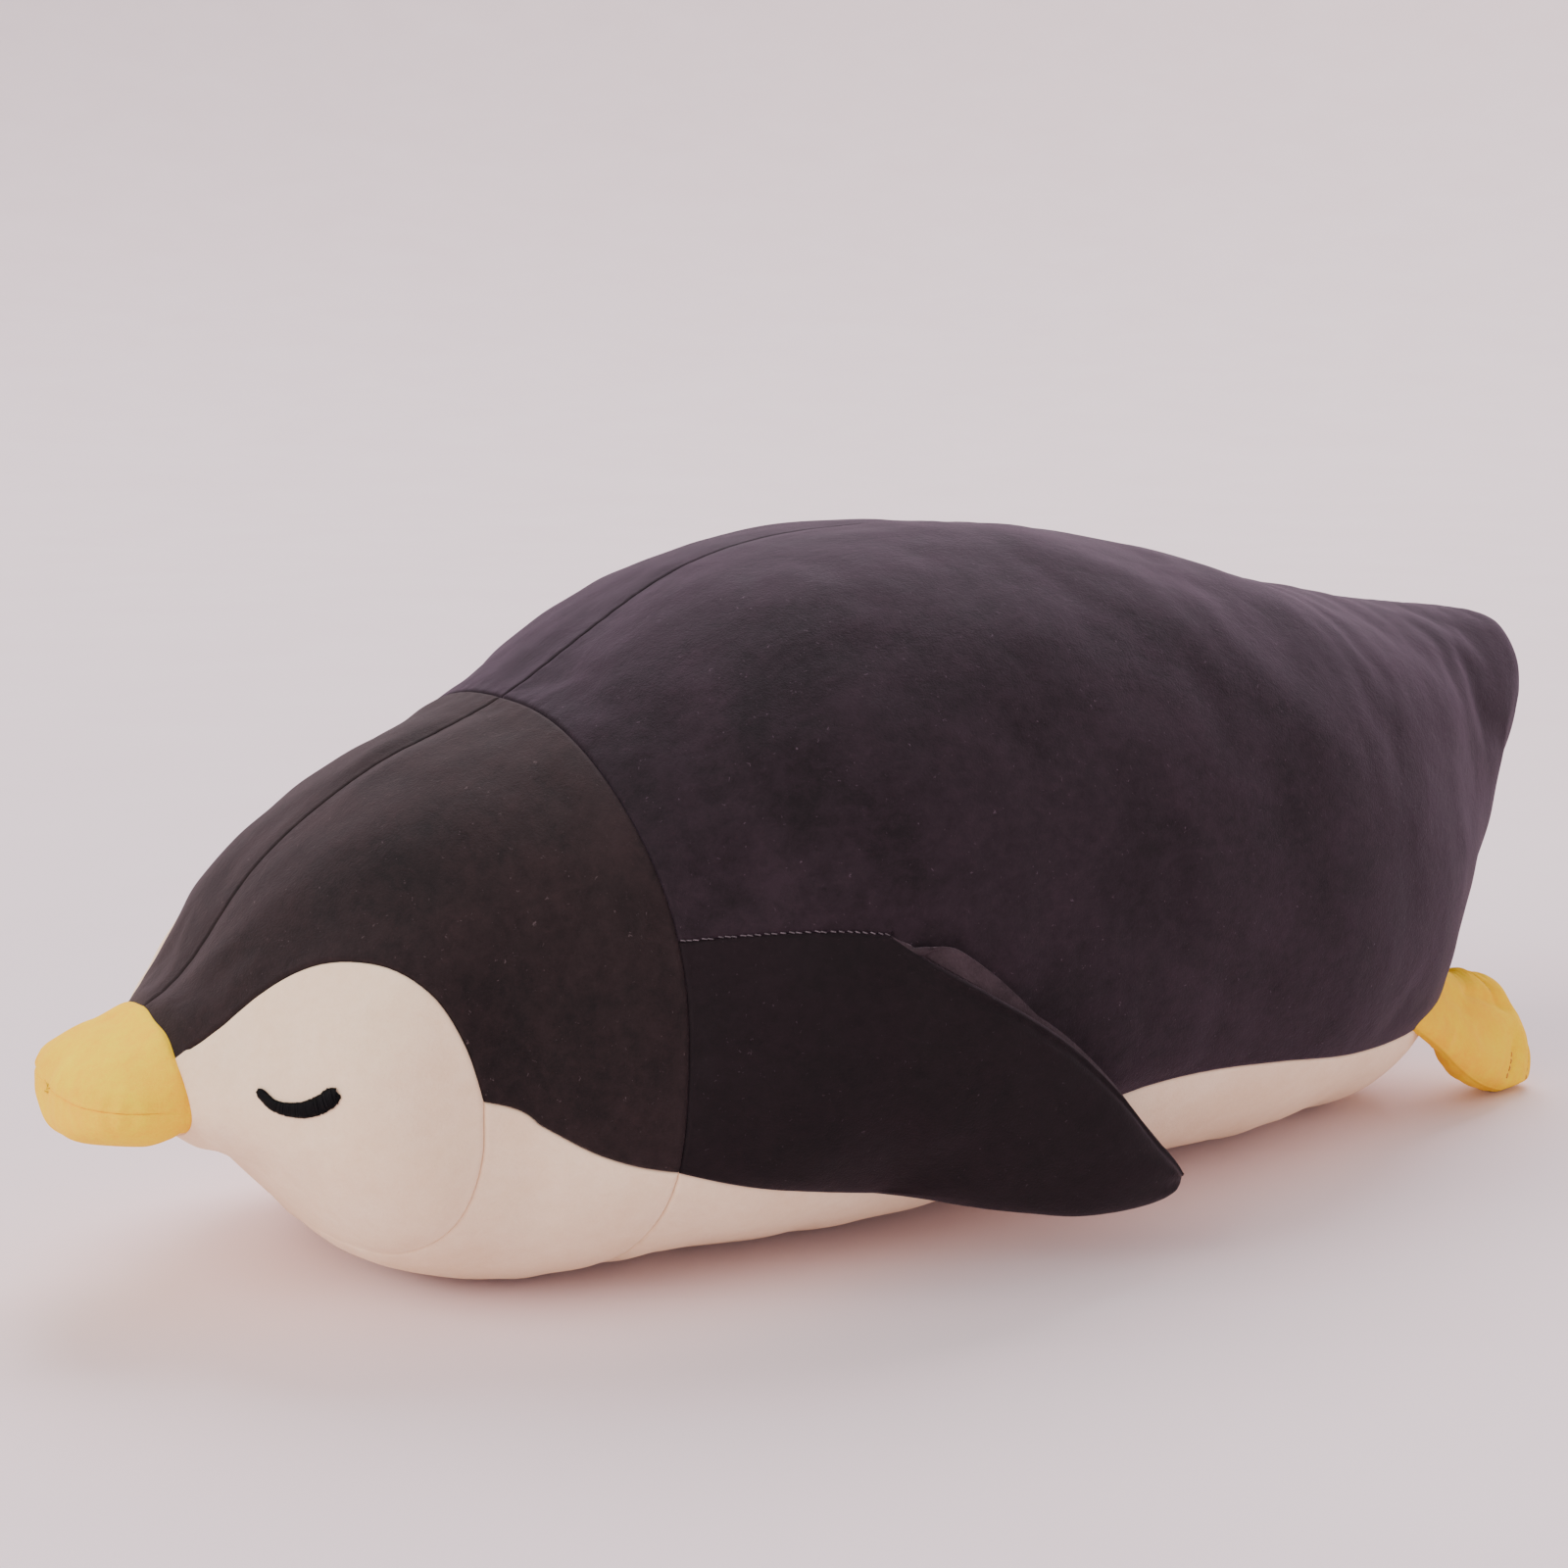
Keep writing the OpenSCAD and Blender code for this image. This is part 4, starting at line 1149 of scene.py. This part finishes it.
# A flat floor that sweeps up far away, so that no edge shows behind the toy
FLAT, SWEEP, RISE = 4.0, 8.0, 4.2    # metres
CORNERS = 96
climb = np.linspace(0, math.pi / 2, 40)[1:]
radius = np.concatenate([[0.0, FLAT / 2, FLAT], FLAT + SWEEP * np.sin(climb)])[:, None]
height = np.concatenate([[0.0, 0.0, 0.0], RISE * (1 - np.cos(climb))])[:, None]
turn = around(CORNERS)
ring = np.stack([radius * np.cos(turn), radius * np.sin(turn), height + 0 * turn], -1)
pairs = [(j, (j + 1) % CORNERS) for j in range(CORNERS)]
quads = [((i + 1) * CORNERS + j, (i + 1) * CORNERS + k, i * CORNERS + k, i * CORNERS + j)
         for i in range(1, len(radius) - 1) for j, k in pairs]
quads += [(CORNERS + j, CORNERS + k, 0) for j, k in pairs]
fm = bpy.data.meshes.new("floor")
fm.from_pydata([tuple(v) for v in ring.reshape(-1, 3)], [], quads)
fm.polygons.foreach_set("use_smooth", [True] * len(fm.polygons))
floor = new_object("floor", fm)
floor.location.z = -0.0002    # just clear of the belly
floor.data.materials.append(floor_material())

world = bpy.data.worlds.new("studio")
world.use_nodes = True
bg = world.node_tree.nodes["Background"]
bg.inputs[0].default_value = (1.0, 0.955, 0.975, 1)
bg.inputs[1].default_value = 0.75
bpy.context.scene.world = world


def soft_sun(name, source, strength, spread, colour):
    """Wide, soft light from the direction of source."""
    data = bpy.data.lights.new(name, "SUN")
    data.energy = strength
    data.angle = math.radians(spread)
    data.color = colour
    d = unit(np.array(source, float))
    new_object(name, data).rotation_euler = (math.acos(d[2]), 0, math.atan2(d[1], d[0]) + math.pi / 2)


soft_sun("window", (-0.6, 0.45, 1.0), 2.5, 40, (1.0, 0.93, 1.0))
soft_sun("room", (0.05, -1.0, 0.62), 2.6, 45, (1.0, 0.97, 0.93))

cam_data = bpy.data.cameras.new("camera")
cam_data.lens = 57.898
cam_data.sensor_width = 36
camera = new_object("camera", cam_data)
camera.location = (0.98752, -0.63587, 0.37578)
camera.rotation_euler = (math.radians(90 - 9.466), 0, math.radians(59.713))
bpy.context.scene.camera = camera
